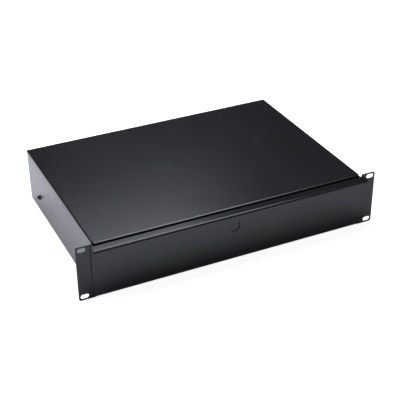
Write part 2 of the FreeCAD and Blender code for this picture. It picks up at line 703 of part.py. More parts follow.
def innerMember(side, label):
    """Slide member on the drawer, open towards the case."""
    body = newBody(f"{label}_inner_member")
    section = channel(side, size.slideThickness, size.innerTip, innerTop, size.slideSheet,
                      size.slideBend)
    add(body, "section", "XZ_Plane", section, slideFront, slideBack)
    cut(body, "tracks", "XZ_Plane", rounds(tracks(side, innerBalls), ballTrack),
        slideFront, slideBack)
    places = [(place, slideMid) for place in trayScrewPlaces]
    web = across(side, size.slideThickness - size.slideSheet)
    face = across(side, size.slideThickness)
    cut(body, "screw_holes", "YZ_Plane", rounds(places, boltHole), web, face)
    cut(body, "pivot_hole", "YZ_Plane",
        rounds([(leverPivotY, slideMid)], size.pivotRadius + size.holeClear), web, face)


def ballCage(side, label, name, web, height):
    """Strip folded round a slide member, with a window for each ball."""
    body = newBody(f"{label}_{name}_cage")
    outside = height + size.cageSheet / 2
    section = channel(side, web, size.slideTip, outside, size.cageSheet, size.cageSheet)
    add(body, "section", "XZ_Plane", section, cageFront, cageBack)
    windows = [(across(side, size.ballRow), firstBall + ballPitch * row) for row in ballRows]
    cut(body, "windows", "XY_Plane", rounds(windows, ballTrack),
        slideMid - outside, slideMid + outside)


def ballSet(side, label, name, height):
    """The balls of one cage, an upper and a lower row."""
    balls = []
    for row in ballRows:
        for level, place in (("upper", slideMid + height), ("lower", slideMid - height)):
            ball = doc.addObject("Part::Sphere", f"{label}_{name}_{level}_ball_{row + 1}")
            ball.setExpression("Radius", size.ballRadius.text)
            ball.setExpression("Placement.Base.x", across(side, size.ballRow).text)
            ball.setExpression("Placement.Base.y", (firstBall + ballPitch * row).text)
            ball.setExpression("Placement.Base.z", place.text)
            balls.append(ball)
    group = doc.addObject("Part::Compound", f"{label}_{name}_balls")
    group.Label = f"{label}_{name}_balls"
    group.Links = balls
    nodes.append(group)


def drawerTray():
    """Open tray with folded sides and welded end walls."""
    thick = size.traySheet
    bend = size.bendInside + thick
    body = newBody("drawer_tray")
    low = trayLow
    high = trayHigh
    edge = trayHalf + size.trayFlange
    section = [(-trayHalf, low, bend), (trayHalf, low, bend),
               (trayHalf, high - thick, size.bendInside), (edge, high - thick), (edge, high),
               (trayHalf - thick, high, bend), (trayHalf - thick, low + thick, size.bendInside),
               (thick - trayHalf, low + thick, size.bendInside), (thick - trayHalf, high, bend),
               (-edge, high), (-edge, high - thick), (-trayHalf, high - thick, size.bendInside)]
    add(body, "section", "XZ_Plane", lambda sketch: outline(sketch, section), frontBack, trayBack)
    inner = trayHalf - thick / 2
    wallLow = low + thick / 2
    add(body, "front_wall", "XZ_Plane", rectangle(-inner, wallLow, inner, high),
        frontBack, frontBack + thick)
    add(body, "back_wall", "XZ_Plane", rectangle(-inner, wallLow, inner, high),
        trayBack - thick, trayBack)
    add(body, "back_flange", "XY_Plane",
        rectangle(-trayHalf, trayBack - thick, trayHalf, trayBack + size.trayFlange / 2),
        high - thick, high)
    half = size.lockNotch / 2
    notch = rectangle(-half, lockMiddle - size.lockNotchBelow, half, high)
    cut(body, "lock_notch", "XZ_Plane", notch, frontBack, frontBack + thick)
    cut(body, "stud_holes", "XZ_Plane", rounds(studs, boltHole), frontBack, frontBack + thick)
    places = [(place, slideMid) for place in trayScrewPlaces]
    cut(body, "screw_holes", "YZ_Plane", rounds(places, boltHole), -trayHalf, trayHalf)
    cut(body, "pivot_seats", "YZ_Plane",
        rounds([(leverPivotY, slideMid)], size.pivotHead + size.holeClear),
        -trayHalf, trayHalf)


def lockShape(radius, flats):
    """Draws a circle with two upright flats at the place of the lock."""
    def draw(sketch):
        half = flats / 2
        middle = lockMiddle
        reach = (radius * radius - half * half).root()
        points = [(half, middle - reach), (half, middle + reach),
                  (-half, middle + reach), (-half, middle - reach)]
        loop(sketch, points, {1: (radius, True), 3: (radius, True)})
    return draw


def lockSlit(sketch):
    """Draws the open slit along the right flat and the lower right of the knock-out."""
    middle = lockMiddle
    outside = size.lockRadius
    inside = size.lockRadius - size.lockSlit
    half = size.lockFlats / 2
    innerHalf = half - size.lockSlit
    top = middle + (outside * outside - half * half).root()
    end = size.lockSlitEnd
    points = [(half, top), (half, middle - (outside * outside - half * half).root()),
              (-end, middle - (outside * outside - end * end).root()),
              (-end, middle - (inside * inside - end * end).root()),
              (innerHalf, middle - (inside * inside - innerHalf * innerHalf).root()),
              (innerHalf, top)]
    loop(sketch, points, {1: (outside, False), 3: (inside, True)})


def drawerFront():
    """Front panel with its pull lip, lock knock-out and weld studs."""
    thick = size.frontSheet
    body = newBody("drawer_front")
    half = caseHalf + size.frontOverlap
    low = bottom + size.frontRise
    nose = frontBack - size.lipReach
    hemHeight = thick * 2 + size.hemGap
    profile = [(frontBack, low), (frontBack, lipTop, size.bendInside + thick),
               (nose, lipTop, hemHeight / 2), (nose, lipTop - hemHeight, hemHeight / 2),
               (nose + size.hemLength, lipTop - hemHeight),
               (nose + size.hemLength, lipTop - hemHeight + thick),
               (nose + thick, lipTop - hemHeight + thick, size.hemGap / 2),
               (nose + thick, lipTop - thick, size.hemGap / 2),
               (frontFace, lipTop - thick, size.bendInside), (frontFace, low)]
    add(body, "section", "YZ_Plane", lambda sketch: outline(sketch, profile), -half, half)
    slug = lockShape(size.lockRadius, size.lockFlats)
    land = lockShape(size.lockRadius - size.holeClear, size.lockFlats - size.holeClear * 2)
    cut(body, "lock_recess", "XZ_Plane", slug, frontFace, frontFace + size.lockOffset)
    add(body, "lock_slug", "XZ_Plane", land, frontBack - thick / 4, frontBack + size.lockOffset)
    cut(body, "lock_slit", "XZ_Plane", lockSlit, frontFace, frontBack + size.lockOffset)
    add(body, "studs", "XZ_Plane", rounds(studs, size.screwRadius),
        frontBack - thick / 4, frontBack + size.studLength)


def frontNuts():
    """Nuts on the weld studs, inside the tray."""
    body = newBody("front_nuts")
    seat = frontBack + size.traySheet
    add(body, "nuts", "XZ_Plane", hexagons(studs, size.nutFlats), seat, seat + size.nutHeight)
    cut(body, "threads", "XZ_Plane", rounds(studs, boltHole), seat, seat + size.nutHeight)


trayScrewPlaces = [size.boltFrontY, size.trayScrewMidY, boltRearY]


def trayScrews():
    """Screws from inside the tray into the inner slide members."""
    body = newBody("tray_screws")
    places = [(place, slideMid) for place in trayScrewPlaces]
    for side, label in ((asSize(-1), "left"), (asSize(1), "right")):
        seat = side * (trayHalf - size.traySheet)
        crown = side * (trayHalf - size.traySheet - size.trayScrewHead)
        floor = side * (trayHalf - size.traySheet - size.trayScrewHead / 2)
        tip = across(side, size.slideThickness - size.slideSheet - size.cageGap)
        add(body, f"{label}_shanks", "YZ_Plane", rounds(places, size.screwRadius), seat, tip)
        add(body, f"{label}_heads", "YZ_Plane", rounds(places, size.screwHead), seat, crown)
        cut(body, f"{label}_recesses", "YZ_Plane",
            crosses(places, size.screwHead / 2, size.recessWidth), floor, crown)


leverBack = size.slideThickness - size.slideSheet - size.leverPlay
leverFace = leverBack - size.leverSheet


def releaseLever(side, label):
    """Lever in the inner member, whose hook catches the stop pin."""
    body = newBody(f"{label}_release_lever")
    pivot = leverPivotY
    arm = size.stopRadius
    hookFront = pivot + size.leverHook
    hookBack = hookFront + size.leverHookLength
    profile = [(pivot - size.leverFront, slideMid - arm), (hookBack, slideMid - arm),
               (hookBack, slideMid + arm), (pivot - size.leverFront, slideMid + arm)]
    add(body, "bar", "YZ_Plane", lambda sketch: outline(sketch, profile),
        across(side, leverFace), across(side, leverBack))
    boss = [(pivot, slideMid)]
    add(body, "boss", "YZ_Plane", rounds(boss, size.pivotHead + size.leverPlay),
        across(side, leverFace), across(side, leverBack))
    hook = rectangle(hookFront, slideMid - stopDrop - size.stopRadius,
                     hookBack, slideMid + arm)
    add(body, "hook", "YZ_Plane", hook,
        across(side, innerCageWeb + size.cageSheet + size.cageGap * 2), across(side, leverBack))
    cut(body, "pivot_hole", "YZ_Plane", rounds(boss, size.pivotRadius + size.holeClear / 2),
        across(side, leverFace), across(side, leverBack))


def leverRivets():
    """Pivot rivets of the two release levers."""
    body = newBody("lever_rivets")
    place = [(leverPivotY, slideMid)]
    for side, label in ((asSize(-1), "left"), (asSize(1), "right")):
        head = across(side, leverFace - size.leverPlay)
        crown = across(side, leverFace - size.leverPlay - size.pivotHeadHeight)
        foot = across(side, size.slideThickness)
        sole = across(side, size.slideThickness + size.traySheet / 2)
        add(body, f"{label}_shank", "YZ_Plane", rounds(place, size.pivotRadius), head, foot)
        add(body, f"{label}_head", "YZ_Plane", rounds(place, size.pivotHead), crown, head)
        add(body, f"{label}_foot", "YZ_Plane", rounds(place, size.pivotHead), foot, sole)


cover()
for side, label in ((asSize(-1), "left"), (asSize(1), "right")):
    sidePanel(side, label)
caseBase()
rearPanel()
baseRivets()
rearFasteners()
slideBolts()
for side, label in ((asSize(-1), "left"), (asSize(1), "right")):
    outerMember(side, label)
    rearBumper(side, label)
    middleMember(side, label)
    innerMember(side, label)
    ballCage(side, label, "outer", size.slideSheet + size.cageGap, outerBalls)
    ballSet(side, label, "outer", outerBalls)
    ballCage(side, label, "inner", innerCageWeb, innerBalls)
    ballSet(side, label, "inner", innerBalls)
    releaseLever(side, label)
drawerTray()
drawerFront()
frontNuts()
trayScrews()
leverRivets()
doc.recompute()

for item in doc.Objects:
    if "Invalid" in item.State or "Error" in item.State:
        raise RuntimeError(f"{item.Label} did not recompute: {item.State}")
for node in nodes:
    if node.Shape.isNull() or not node.Shape.isValid():
        raise RuntimeError(f"{node.Label} has no valid shape")

os.makedirs("parts", exist_ok=True)
for node in nodes:
    node.Shape.exportStep(f"parts/{node.Label}.step")
    print(node.Label, len(node.Shape.Solids), round(node.Shape.Volume, 1))
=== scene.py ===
import json
import math
import bmesh
import bpy
import numpy as np
from mathutils import Matrix, Vector


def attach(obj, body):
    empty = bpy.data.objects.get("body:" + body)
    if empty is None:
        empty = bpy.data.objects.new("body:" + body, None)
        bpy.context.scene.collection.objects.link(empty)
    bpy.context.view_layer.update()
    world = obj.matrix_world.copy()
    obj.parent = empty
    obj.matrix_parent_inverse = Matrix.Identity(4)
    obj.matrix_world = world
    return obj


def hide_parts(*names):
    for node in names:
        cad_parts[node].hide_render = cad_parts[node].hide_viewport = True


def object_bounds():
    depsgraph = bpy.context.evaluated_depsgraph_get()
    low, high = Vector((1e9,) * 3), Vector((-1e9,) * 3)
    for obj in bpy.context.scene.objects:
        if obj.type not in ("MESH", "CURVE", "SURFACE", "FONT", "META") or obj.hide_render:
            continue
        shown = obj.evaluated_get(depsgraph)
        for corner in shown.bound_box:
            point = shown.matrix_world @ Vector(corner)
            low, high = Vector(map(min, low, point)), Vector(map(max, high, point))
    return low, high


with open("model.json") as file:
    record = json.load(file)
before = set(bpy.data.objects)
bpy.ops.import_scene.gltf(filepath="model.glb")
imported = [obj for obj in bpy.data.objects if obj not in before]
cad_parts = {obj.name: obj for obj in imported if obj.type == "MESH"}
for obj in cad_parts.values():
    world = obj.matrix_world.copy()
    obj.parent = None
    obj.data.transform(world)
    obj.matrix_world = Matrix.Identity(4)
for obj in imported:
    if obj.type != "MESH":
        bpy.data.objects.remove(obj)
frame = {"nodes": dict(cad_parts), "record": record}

# Sliding rack drawer: bent sheet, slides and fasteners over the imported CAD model.
# Sizes in the dictionaries of pieces are millimetres; the studio and the camera are in metres.

millimetre = 0.001
cadLow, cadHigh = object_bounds()
scene = bpy.context.scene
scene.view_settings.view_transform = "Standard"

# Camera: solved from the ears, the slots and the edges of the case in the photograph
cameraValues = {
    "azimuth": -25.142, "elevation": 30.714, "roll": -0.619,
    "distance": 1.56119, "target": (0.016275, 0.1488, -0.027425),
    "focalPixels": 976.65, "imagePixels": 400, "sensor": 36.0, "clipEnd": 50,
}


def makeCamera(values):
    # Stands at target + distance * back, with back = (sin a cos e, -cos a cos e, sin e)
    azimuth, elevation = math.radians(values["azimuth"]), math.radians(values["elevation"])
    back = Vector((math.sin(azimuth) * math.cos(elevation),
                   -math.cos(azimuth) * math.cos(elevation), math.sin(elevation)))
    right = Vector((0, 0, 1)).cross(back).normalized()
    up = back.cross(right)
    roll = math.radians(values["roll"])
    turnedRight = right * math.cos(roll) + up * math.sin(roll)
    turnedUp = up * math.cos(roll) - right * math.sin(roll)
    place = Vector(values["target"]) + back * values["distance"]
    data = bpy.data.cameras.new("camera")
    data.sensor_width = values["sensor"]
    data.lens = values["focalPixels"] / values["imagePixels"] * values["sensor"]
    data.clip_end = values["clipEnd"]
    camera = bpy.data.objects.new("camera", data)
    scene.collection.objects.link(camera)
    axes = Matrix((turnedRight, turnedUp, back)).transposed().to_4x4()
    camera.matrix_world = Matrix.Translation(place) @ axes
    scene.camera = camera


makeCamera(cameraValues)
print("stage: camera")

# Studio: white floor, a soft box above and behind, a card that only shows in gloss in front of it,
# a broad lamp that lights the floor, and dim surroundings
studioValues = {
    "floorSize": 12.0, "floorColour": (0.9, 0.9, 0.9), "floorGlow": 0.92, "floorGlowSeenInGloss": 0.06,
    "surroundings": (0.03, 0.03, 0.034), "lampColour": (0.955, 0.965, 1.09),
    "lamps": {
        "softBox": {"place": (0.282, 0.916, 1.04), "size": (0.55, 0.94), "power": 3.3,
                    "inGloss": True, "inDiffuse": True},
        "frontCard": {"place": (0.28, -0.2, 1.04), "size": (0.6, 1.3), "power": 8.0,
                      "inGloss": True, "inDiffuse": False},
        "floorLamp": {"place": (-0.25, 0.5, 1.04), "size": (1.5, 1.0), "power": 15.5,
                      "inGloss": False, "inDiffuse": True},
    },
}


def link(tree, start, end):
    tree.links.new(start, end)


def addNode(tree, kind, **settings):
    node = tree.nodes.new(kind)
    for key, value in settings.items():
        setattr(node, key, value)
    return node


def makeLamp(name, values, colour):
    # A flat panel of light that points straight down
    data = bpy.data.lights.new(name, "AREA")
    data.color = colour
    data.shape = "RECTANGLE"
    data.size, data.size_y = values["size"]
    data.energy = values["power"]
    lamp = bpy.data.objects.new(name, data)
    lamp.location = values["place"]
    lamp.visible_camera = False
    lamp.visible_glossy = values["inGloss"]
    lamp.visible_diffuse = values["inDiffuse"]
    scene.collection.objects.link(lamp)


def makeFloor(values):
    # Matt white, plus a glow that the camera sees in full and gloss and glass see faintly
    half = values["floorSize"] / 2
    corners = np.array([(-half, -half), (half, -half), (half, half), (-half, half)])
    level = np.full((4, 1), cadLow.z)
    mesh = bpy.data.meshes.new("floor")
    mesh.from_pydata(np.hstack([corners, level]).tolist(), [], [(0, 1, 2, 3)])
    floor = bpy.data.objects.new("floor", mesh)
    scene.collection.objects.link(floor)
    material = bpy.data.materials.new("whiteFloor")
    material.use_nodes = True
    tree = material.node_tree
    tree.nodes.clear()
    output = addNode(tree, "ShaderNodeOutputMaterial")
    both = addNode(tree, "ShaderNodeAddShader")
    matte = addNode(tree, "ShaderNodeBsdfDiffuse")
    matte.inputs["Color"].default_value = (*values["floorColour"], 1)
    glow = addNode(tree, "ShaderNodeEmission")
    path = addNode(tree, "ShaderNodeLightPath")
    clear = addNode(tree, "ShaderNodeMath", operation="MAXIMUM")
    direct = addNode(tree, "ShaderNodeMath", operation="MULTIPLY")
    direct.inputs[1].default_value = values["floorGlow"]
    strength = addNode(tree, "ShaderNodeMath", operation="MULTIPLY_ADD")
    strength.inputs[1].default_value = values["floorGlowSeenInGloss"]
    link(tree, path.outputs["Is Glossy Ray"], clear.inputs[0])
    link(tree, path.outputs["Is Transmission Ray"], clear.inputs[1])
    link(tree, path.outputs["Is Camera Ray"], direct.inputs[0])
    link(tree, clear.outputs[0], strength.inputs[0])
    link(tree, direct.outputs[0], strength.inputs[2])
    link(tree, strength.outputs[0], glow.inputs["Strength"])
    link(tree, matte.outputs[0], both.inputs[0])
    link(tree, glow.outputs[0], both.inputs[1])
    link(tree, both.outputs[0], output.inputs["Surface"])
    mesh.materials.append(material)


def makeWorld(values):
    # White to the camera and dim to every other ray
    world = bpy.data.worlds.new("studio")
    scene.world = world
    world.use_nodes = True
    tree = world.node_tree
    tree.nodes.clear()
    output = addNode(tree, "ShaderNodeOutputWorld")
    mix = addNode(tree, "ShaderNodeMixShader")
    path = addNode(tree, "ShaderNodeLightPath")
    around = addNode(tree, "ShaderNodeBackground")
    around.inputs["Color"].default_value = (*values["surroundings"], 1)
    white = addNode(tree, "ShaderNodeBackground")
    white.inputs["Color"].default_value = (1, 1, 1, 1)
    link(tree, path.outputs["Is Camera Ray"], mix.inputs[0])
    link(tree, around.outputs[0], mix.inputs[1])
    link(tree, white.outputs[0], mix.inputs[2])
    link(tree, mix.outputs[0], output.inputs["Surface"])


makeFloor(studioValues)
makeWorld(studioValues)
for lampName, lampValues in studioValues["lamps"].items():
    makeLamp(lampName, lampValues, studioValues["lampColour"])
print("stage: studio")


# Shared effects, built once as node groups
def newGroup(name, inputs, outputs):
    # Empty node group; inputs maps a name to its default, outputs to its socket kind
    group = bpy.data.node_groups.new(name, "ShaderNodeTree")
    for label, default in inputs.items():
        isColour = isinstance(default, tuple)
        kind = "NodeSocketColor" if isColour else "NodeSocketFloat"
        socket = group.interface.new_socket(name=label, in_out="INPUT", socket_type=kind)
        socket.default_value = (*default, 1) if isColour else default
    for label, kind in outputs.items():
        group.interface.new_socket(name=label, in_out="OUTPUT", socket_type=kind)
    return group, addNode(group, "NodeGroupInput"), addNode(group, "NodeGroupOutput")


def noise(tree, place, scale, detail, roughness=0.5):
    node = addNode(tree, "ShaderNodeTexNoise")
    node.inputs["Scale"].default_value = scale
    node.inputs["Detail"].default_value = detail
    node.inputs["Roughness"].default_value = roughness
    link(tree, place, node.inputs["Vector"])
    return node.outputs["Fac"]


def spread(tree, value, low, high, start, end):
    # start + (end - start) * (value - low) / (high - low), clamped; the ends may be sockets
    node = addNode(tree, "ShaderNodeMapRange")
    for label, setting in (("From Min", low), ("From Max", high), ("To Min", start), ("To Max", end)):
        if isinstance(setting, (int, float)):
            node.inputs[label].default_value = setting
        else:
            link(tree, setting, node.inputs[label])
    link(tree, value, node.inputs["Value"])
    return node.outputs["Result"]


def calculate(tree, operation, one, other):
    # One maths node on two numbers or sockets
    node = addNode(tree, "ShaderNodeMath", operation=operation)
    for socket, setting in zip(node.inputs, (one, other)):
        if isinstance(setting, (int, float)):
            socket.default_value = setting
        else:
            link(tree, setting, socket)
    return node.outputs[0]


def blendColours(tree, factor, one, other):
    # one + factor * (other - one), each a colour or a socket
    node = addNode(tree, "ShaderNodeMix", data_type="RGBA")
    link(tree, factor, node.inputs["Factor"])
    for socket, setting in ((node.inputs[6], one), (node.inputs[7], other)):
        if isinstance(setting, tuple):
            socket.default_value = (*setting, 1)
        else:
            link(tree, setting, socket)
    return node.outputs[2]


# Noises are (scale, detail, roughness); a range is where a noise starts and stops counting
paintGroupValues = {
    "peel": (900.0, 2.0), "grain": (2600.0, 1.0), "clouds": (9.0, 3.0, 0.6), "specks": (420.0, 1.0),
    "speckRange": (0.66, 0.74), "glossRange": (0.3, 0.7), "dustColour": (0.2, 0.2, 0.2),
    "peelShare": 0.7, "grainShare": 0.3,
}


def makePaintGroup(values):
    # Powder coat: fine peel in the height, cloudy gloss and a little dust in the colour
    group, start, end = newGroup(
        "powderCoat",
        {"Colour": (0.012, 0.012, 0.013), "Dust": 0.1, "Gloss Low": 0.3, "Gloss High": 0.42},
        {"Colour": "NodeSocketColor", "Roughness": "NodeSocketFloat", "Height": "NodeSocketFloat"})
    place = addNode(group, "ShaderNodeTexCoord").outputs["Object"]
    peel, grain, clouds, specks = (noise(group, place, *values[name])
                                   for name in ("peel", "grain", "clouds", "specks"))
    dots = spread(group, specks, *values["speckRange"], 0.0, 1.0)
    dust = calculate(group, "MULTIPLY", calculate(group, "MULTIPLY", dots, clouds),
                     start.outputs["Dust"])
    colour = blendColours(group, dust, start.outputs["Colour"], values["dustColour"])
    gloss = spread(group, clouds, *values["glossRange"], start.outputs["Gloss Low"],
                   start.outputs["Gloss High"])
    height = calculate(group, "ADD", calculate(group, "MULTIPLY", peel, values["peelShare"]),
                       calculate(group, "MULTIPLY", grain, values["grainShare"]))
    link(group, colour, end.inputs["Colour"])
    link(group, gloss, end.inputs["Roughness"])
    link(group, height, end.inputs["Height"])
    return group


metalGroupValues = {
    "streaks": (1800.0, 3.0, 0.6), "streakStretch": (1.0, 0.02, 1.0), "clouds": (60.0, 3.0, 0.6),
    "grain": (2400.0, 1.0), "tintRange": (0.35, 0.65), "glossRange": (0.2, 0.8),
    "cloudShare": 0.5, "grainShare": 0.3,
}


def makeMetalGroup(values):
    # Rolled or plated metal: streaks along Y, cloudy plating and a fine grain
    group, start, end = newGroup(
        "platedMetal",
        {"Colour": (0.6, 0.6, 0.6), "Tint": (0.5, 0.5, 0.48), "Streaks": 0.5, "Gloss Low": 0.2,
         "Gloss High": 0.4},
        {"Colour": "NodeSocketColor", "Roughness": "NodeSocketFloat", "Height": "NodeSocketFloat"})
    place = addNode(group, "ShaderNodeTexCoord").outputs["Object"]
    along = addNode(group, "ShaderNodeMapping")
    along.inputs["Scale"].default_value = values["streakStretch"]
    link(group, place, along.inputs["Vector"])
    streaks = noise(group, along.outputs["Vector"], *values["streaks"])
    clouds = noise(group, place, *values["clouds"])
    grain = noise(group, place, *values["grain"])
    shade = spread(group, clouds, *values["tintRange"], 0.0, 1.0)
    colour = blendColours(group, shade, start.outputs["Colour"], start.outputs["Tint"])
    lined = calculate(group, "MULTIPLY", streaks, start.outputs["Streaks"])
    mixed = calculate(group, "ADD", calculate(group, "MULTIPLY", clouds, values["cloudShare"]), lined)
    gloss = spread(group, mixed, *values["glossRange"], start.outputs["Gloss Low"],
                   start.outputs["Gloss High"])
    height = calculate(group, "ADD", lined, calculate(group, "MULTIPLY", grain, values["grainShare"]))
    link(group, colour, end.inputs["Colour"])
    link(group, gloss, end.inputs["Roughness"])
    link(group, height, end.inputs["Height"])
    return group


mouldedGroupValues = {
    "pores": (1500.0, 2.0), "clouds": (120.0, 3.0), "bloomRange": (0.4, 0.7), "glossRange": (0.3, 0.7),
    "bloomColour": (0.12, 0.12, 0.12),
}


def makeMouldedGroup(values):
    # Moulded rubber or plastic: matt pores and slight bloom
    group, start, end = newGroup(
        "mouldedSkin",
        {"Colour": (0.02, 0.02, 0.02), "Bloom": 0.15, "Gloss Low": 0.45, "Gloss High": 0.65},
        {"Colour": "NodeSocketColor", "Roughness": "NodeSocketFloat", "Height": "NodeSocketFloat"})
    place = addNode(group, "ShaderNodeTexCoord").outputs["Object"]
    pores = noise(group, place, *values["pores"])
    clouds = noise(group, place, *values["clouds"])
    bloom = calculate(group, "MULTIPLY", spread(group, clouds, *values["bloomRange"], 0.0, 1.0),
                      start.outputs["Bloom"])
    colour = blendColours(group, bloom, start.outputs["Colour"], values["bloomColour"])
    gloss = spread(group, clouds, *values["glossRange"], start.outputs["Gloss Low"],
                   start.outputs["Gloss High"])
    link(group, colour, end.inputs["Colour"])
    link(group, gloss, end.inputs["Roughness"])
    link(group, pores, end.inputs["Height"])
    return group


groups = {"powderCoat": makePaintGroup(paintGroupValues), "platedMetal": makeMetalGroup(metalGroupValues),
          "mouldedSkin": makeMouldedGroup(mouldedGroupValues)}

# One entry for each finish: its slot, its group and the group's inputs, the bump's strength and
# distance, and the shader's own sockets
finishValues = {
    "blackPaint": {
        "slot": "black_paint", "group": "powderCoat",
        "inputs": {"Colour": (0.009, 0.009, 0.0096), "Dust": 0.06, "Gloss Low": 0.24,
                   "Gloss High": 0.29},
        "bump": (0.25, 0.00004),
        "sockets": {"Metallic": 0.0, "IOR": 1.5, "Coat Weight": 0.9, "Coat Roughness": 0.26,
                    "Coat IOR": 1.5}},
    "frontPaint": {
        "slot": "black_paint", "group": "powderCoat",
        "inputs": {"Colour": (0.009, 0.009, 0.0096), "Dust": 0.05, "Gloss Low": 0.19,
                   "Gloss High": 0.22},
        "bump": (0.2, 0.00003),
        "sockets": {"Metallic": 0.0, "IOR": 1.5, "Coat Weight": 1.0, "Coat Roughness": 0.18,
                    "Coat IOR": 1.5}},
    # Painted shade: a darker, matt, low-gloss black on the hem under the pull lip, standing in for the
    # shade under its nose
    "hemPaintedShade": {
        "slot": "black_paint", "group": "powderCoat",
        "inputs": {"Colour": (0.006, 0.006, 0.0064), "Dust": 0.02, "Gloss Low": 0.6, "Gloss High": 0.7},
        "bump": (0.2, 0.00003), "sockets": {"Metallic": 0.0, "Specular IOR Level": 0.12}},
    "zincPlate": {
        "slot": "zinc_plate", "group": "platedMetal",
        "inputs": {"Colour": (0.62, 0.63, 0.64), "Tint": (0.52, 0.53, 0.55), "Streaks": 0.2,
                   "Gloss Low": 0.2, "Gloss High": 0.34},
        "bump": (0.15, 0.00002), "sockets": {"Metallic": 1.0}},
    "slideSteel": {
        "slot": "slide_steel", "group": "platedMetal",
        "inputs": {"Colour": (0.58, 0.59, 0.61), "Tint": (0.48, 0.49, 0.51), "Streaks": 0.6,
                   "Gloss Low": 0.24, "Gloss High": 0.4},
        "bump": (0.2, 0.00002), "sockets": {"Metallic": 1.0}},
    "cageSteel": {
        "slot": "cage_steel", "group": "platedMetal",
        "inputs": {"Colour": (0.55, 0.54, 0.52), "Tint": (0.46, 0.45, 0.43), "Streaks": 0.8,
                   "Gloss Low": 0.28, "Gloss High": 0.45},
        "bump": (0.2, 0.00002), "sockets": {"Metallic": 1.0}},
    "ballSteel": {
        "slot": "ball_steel", "group": "platedMetal",
        "inputs": {"Colour": (0.78, 0.78, 0.79), "Tint": (0.7, 0.7, 0.7), "Streaks": 0.0,
                   "Gloss Low": 0.05, "Gloss High": 0.12},
        "bump": (0.03, 0.00001), "sockets": {"Metallic": 1.0}},
    "bumperRubber": {
        "slot": "bumper_rubber", "group": "mouldedSkin",
        "inputs": {"Colour": (0.018, 0.018, 0.018), "Bloom": 0.25, "Gloss Low": 0.6, "Gloss High": 0.8},
        "bump": (0.3, 0.00005), "sockets": {"Metallic": 0.0, "IOR": 1.5}},
    "leverPlastic": {
        "slot": "lever_plastic", "group": "mouldedSkin",
        "inputs": {"Colour": (0.03, 0.03, 0.03), "Bloom": 0.1, "Gloss Low": 0.4, "Gloss High": 0.55},
        "bump": (0.2, 0.00004), "sockets": {"Metallic": 0.0, "IOR": 1.46}},
}


def makeFinish(name, values):
    # The group feeds colour, roughness and bump height of one Principled shader
    material = bpy.data.materials.new(name)
    material.use_nodes = True
    tree = material.node_tree
    shader = tree.nodes["Principled BSDF"]
    effect = addNode(tree, "ShaderNodeGroup", node_tree=groups[values["group"]])
    for label, setting in values["inputs"].items():
        effect.inputs[label].default_value = (*setting, 1) if isinstance(setting, tuple) else setting
    bump = addNode(tree, "ShaderNodeBump")
    bump.inputs["Strength"].default_value, bump.inputs["Distance"].default_value = values["bump"]
    link(tree, effect.outputs["Colour"], shader.inputs["Base Color"])
    link(tree, effect.outputs["Roughness"], shader.inputs["Roughness"])
    link(tree, effect.outputs["Height"], bump.inputs["Height"])
    link(tree, bump.outputs["Normal"], shader.inputs["Normal"])
    for label, setting in values["sockets"].items():
        shader.inputs[label].default_value = setting
    return material


# A slot's plain finish is the first with that slot; every CAD node starts with it
finishes = {name: makeFinish(name, values) for name, values in finishValues.items()}
finishOfSlot = {values["slot"]: name for name, values in reversed(finishValues.items())}
finishOfNode = {}
for part in frame["record"]["subparts"]:
    node = frame["nodes"][part["node"]]
    finishOfNode[part["node"]] = finishOfSlot[part["material_slot"]]
    node.data.materials.clear()
    node.data.materials.append(finishes[finishOfNode[part["node"]]])
print("stage: finishes")


# Sheet metal: flat bays and bends that share the points along their edges
def steps(marks, spacing):
    # One array for each gap between the marks: a + (b - a) * k / n, n = round((b - a) / spacing)
    return [np.linspace(a, b, max(2, int(round(abs(b - a) / spacing)) + 1))
            for a, b in zip(marks, marks[1:])]


def joined(parts):
    # The arrays one after another, each shared end kept once
    return np.concatenate([parts[0]] + [part[1:] for part in parts[1:]])


def arc(centre, radius, start, end, count=7):
    # centre + radius * (cos a, sin a), with a from start to end in degrees
    angles = np.radians(np.linspace(start, end, count))
    return np.array(centre) + radius * np.column_stack([np.cos(angles), np.sin(angles)])


def placed(first, second, third, axes):
    # Points with the three values on the axes named, such as "yzx"
    first, second, third = np.broadcast_arrays(first, second, third)
    points = np.empty((first.size, 3))
    for letter, values in zip(axes, (first, second, third)):
        points[:, "xyz".index(letter)] = values.ravel()
    return points


def gridFaces(rows, columns, closed=False):
    # Quad (i, j) joins the points (i, j), (i, j+1), (i+1, j+1) and (i+1, j); closed joins i's ends
    index = np.arange(rows * columns).reshape(rows, columns)
    if closed:
        index = np.vstack([index, index[:1]])
    quads = [index[:-1, :-1], index[:-1, 1:], index[1:, 1:], index[1:, :-1]]
    return np.stack(quads, axis=-1).reshape(-1, 4)


def sweep(profile, along, axes):
    # Point (i, j) is profile[i] on the first two axes and along[j] on the third
    points = placed(profile[:, :1], profile[:, 1:], along[None, :], axes)
    return points, gridFaces(len(profile), len(along))


def edgeOf(us, vs):
    # Points round a bay, anticlockwise from its low corner
    low, right = (us[:-1], vs[:1]), (us[-1:], vs[:-1])
    high, left = (us[:0:-1], vs[-1:]), (us[:1], vs[:0:-1])
    return np.concatenate([np.column_stack(np.broadcast_arrays(u, v))
                           for u, v in (low, right, high, left)])


def rounded(loop, centre, radius, signs):
    # Loop points beyond the centre on both axes go onto the circle: c + r * (p - c) / |p - c|
    away = loop - centre
    beyond = np.all(away * signs > 1e-6, axis=1)
    reach = np.linalg.norm(away, axis=1, keepdims=True)
    return np.where(beyond[:, None], centre + radius * away / np.maximum(reach, 1e-9), loop)


def ring(outer, centre, reach, level, axes, count=5):
    # Between a loop and a hole: outer + t * (c + reach(a) * (cos a, sin a) - outer), t from 0 to 1
    away = outer - centre
    angles = np.arctan2(away[:, 1], away[:, 0])
    inner = centre + reach(angles)[:, None] * np.column_stack([np.cos(angles), np.sin(angles)])
    share = np.linspace(0, 1, count)[None, :, None]
    between = outer[:, None, :] + share * (inner - outer)[:, None, :]
    points = placed(between[..., 0], between[..., 1], np.array(level), axes)
    return points, gridFaces(len(outer), count, closed=True)


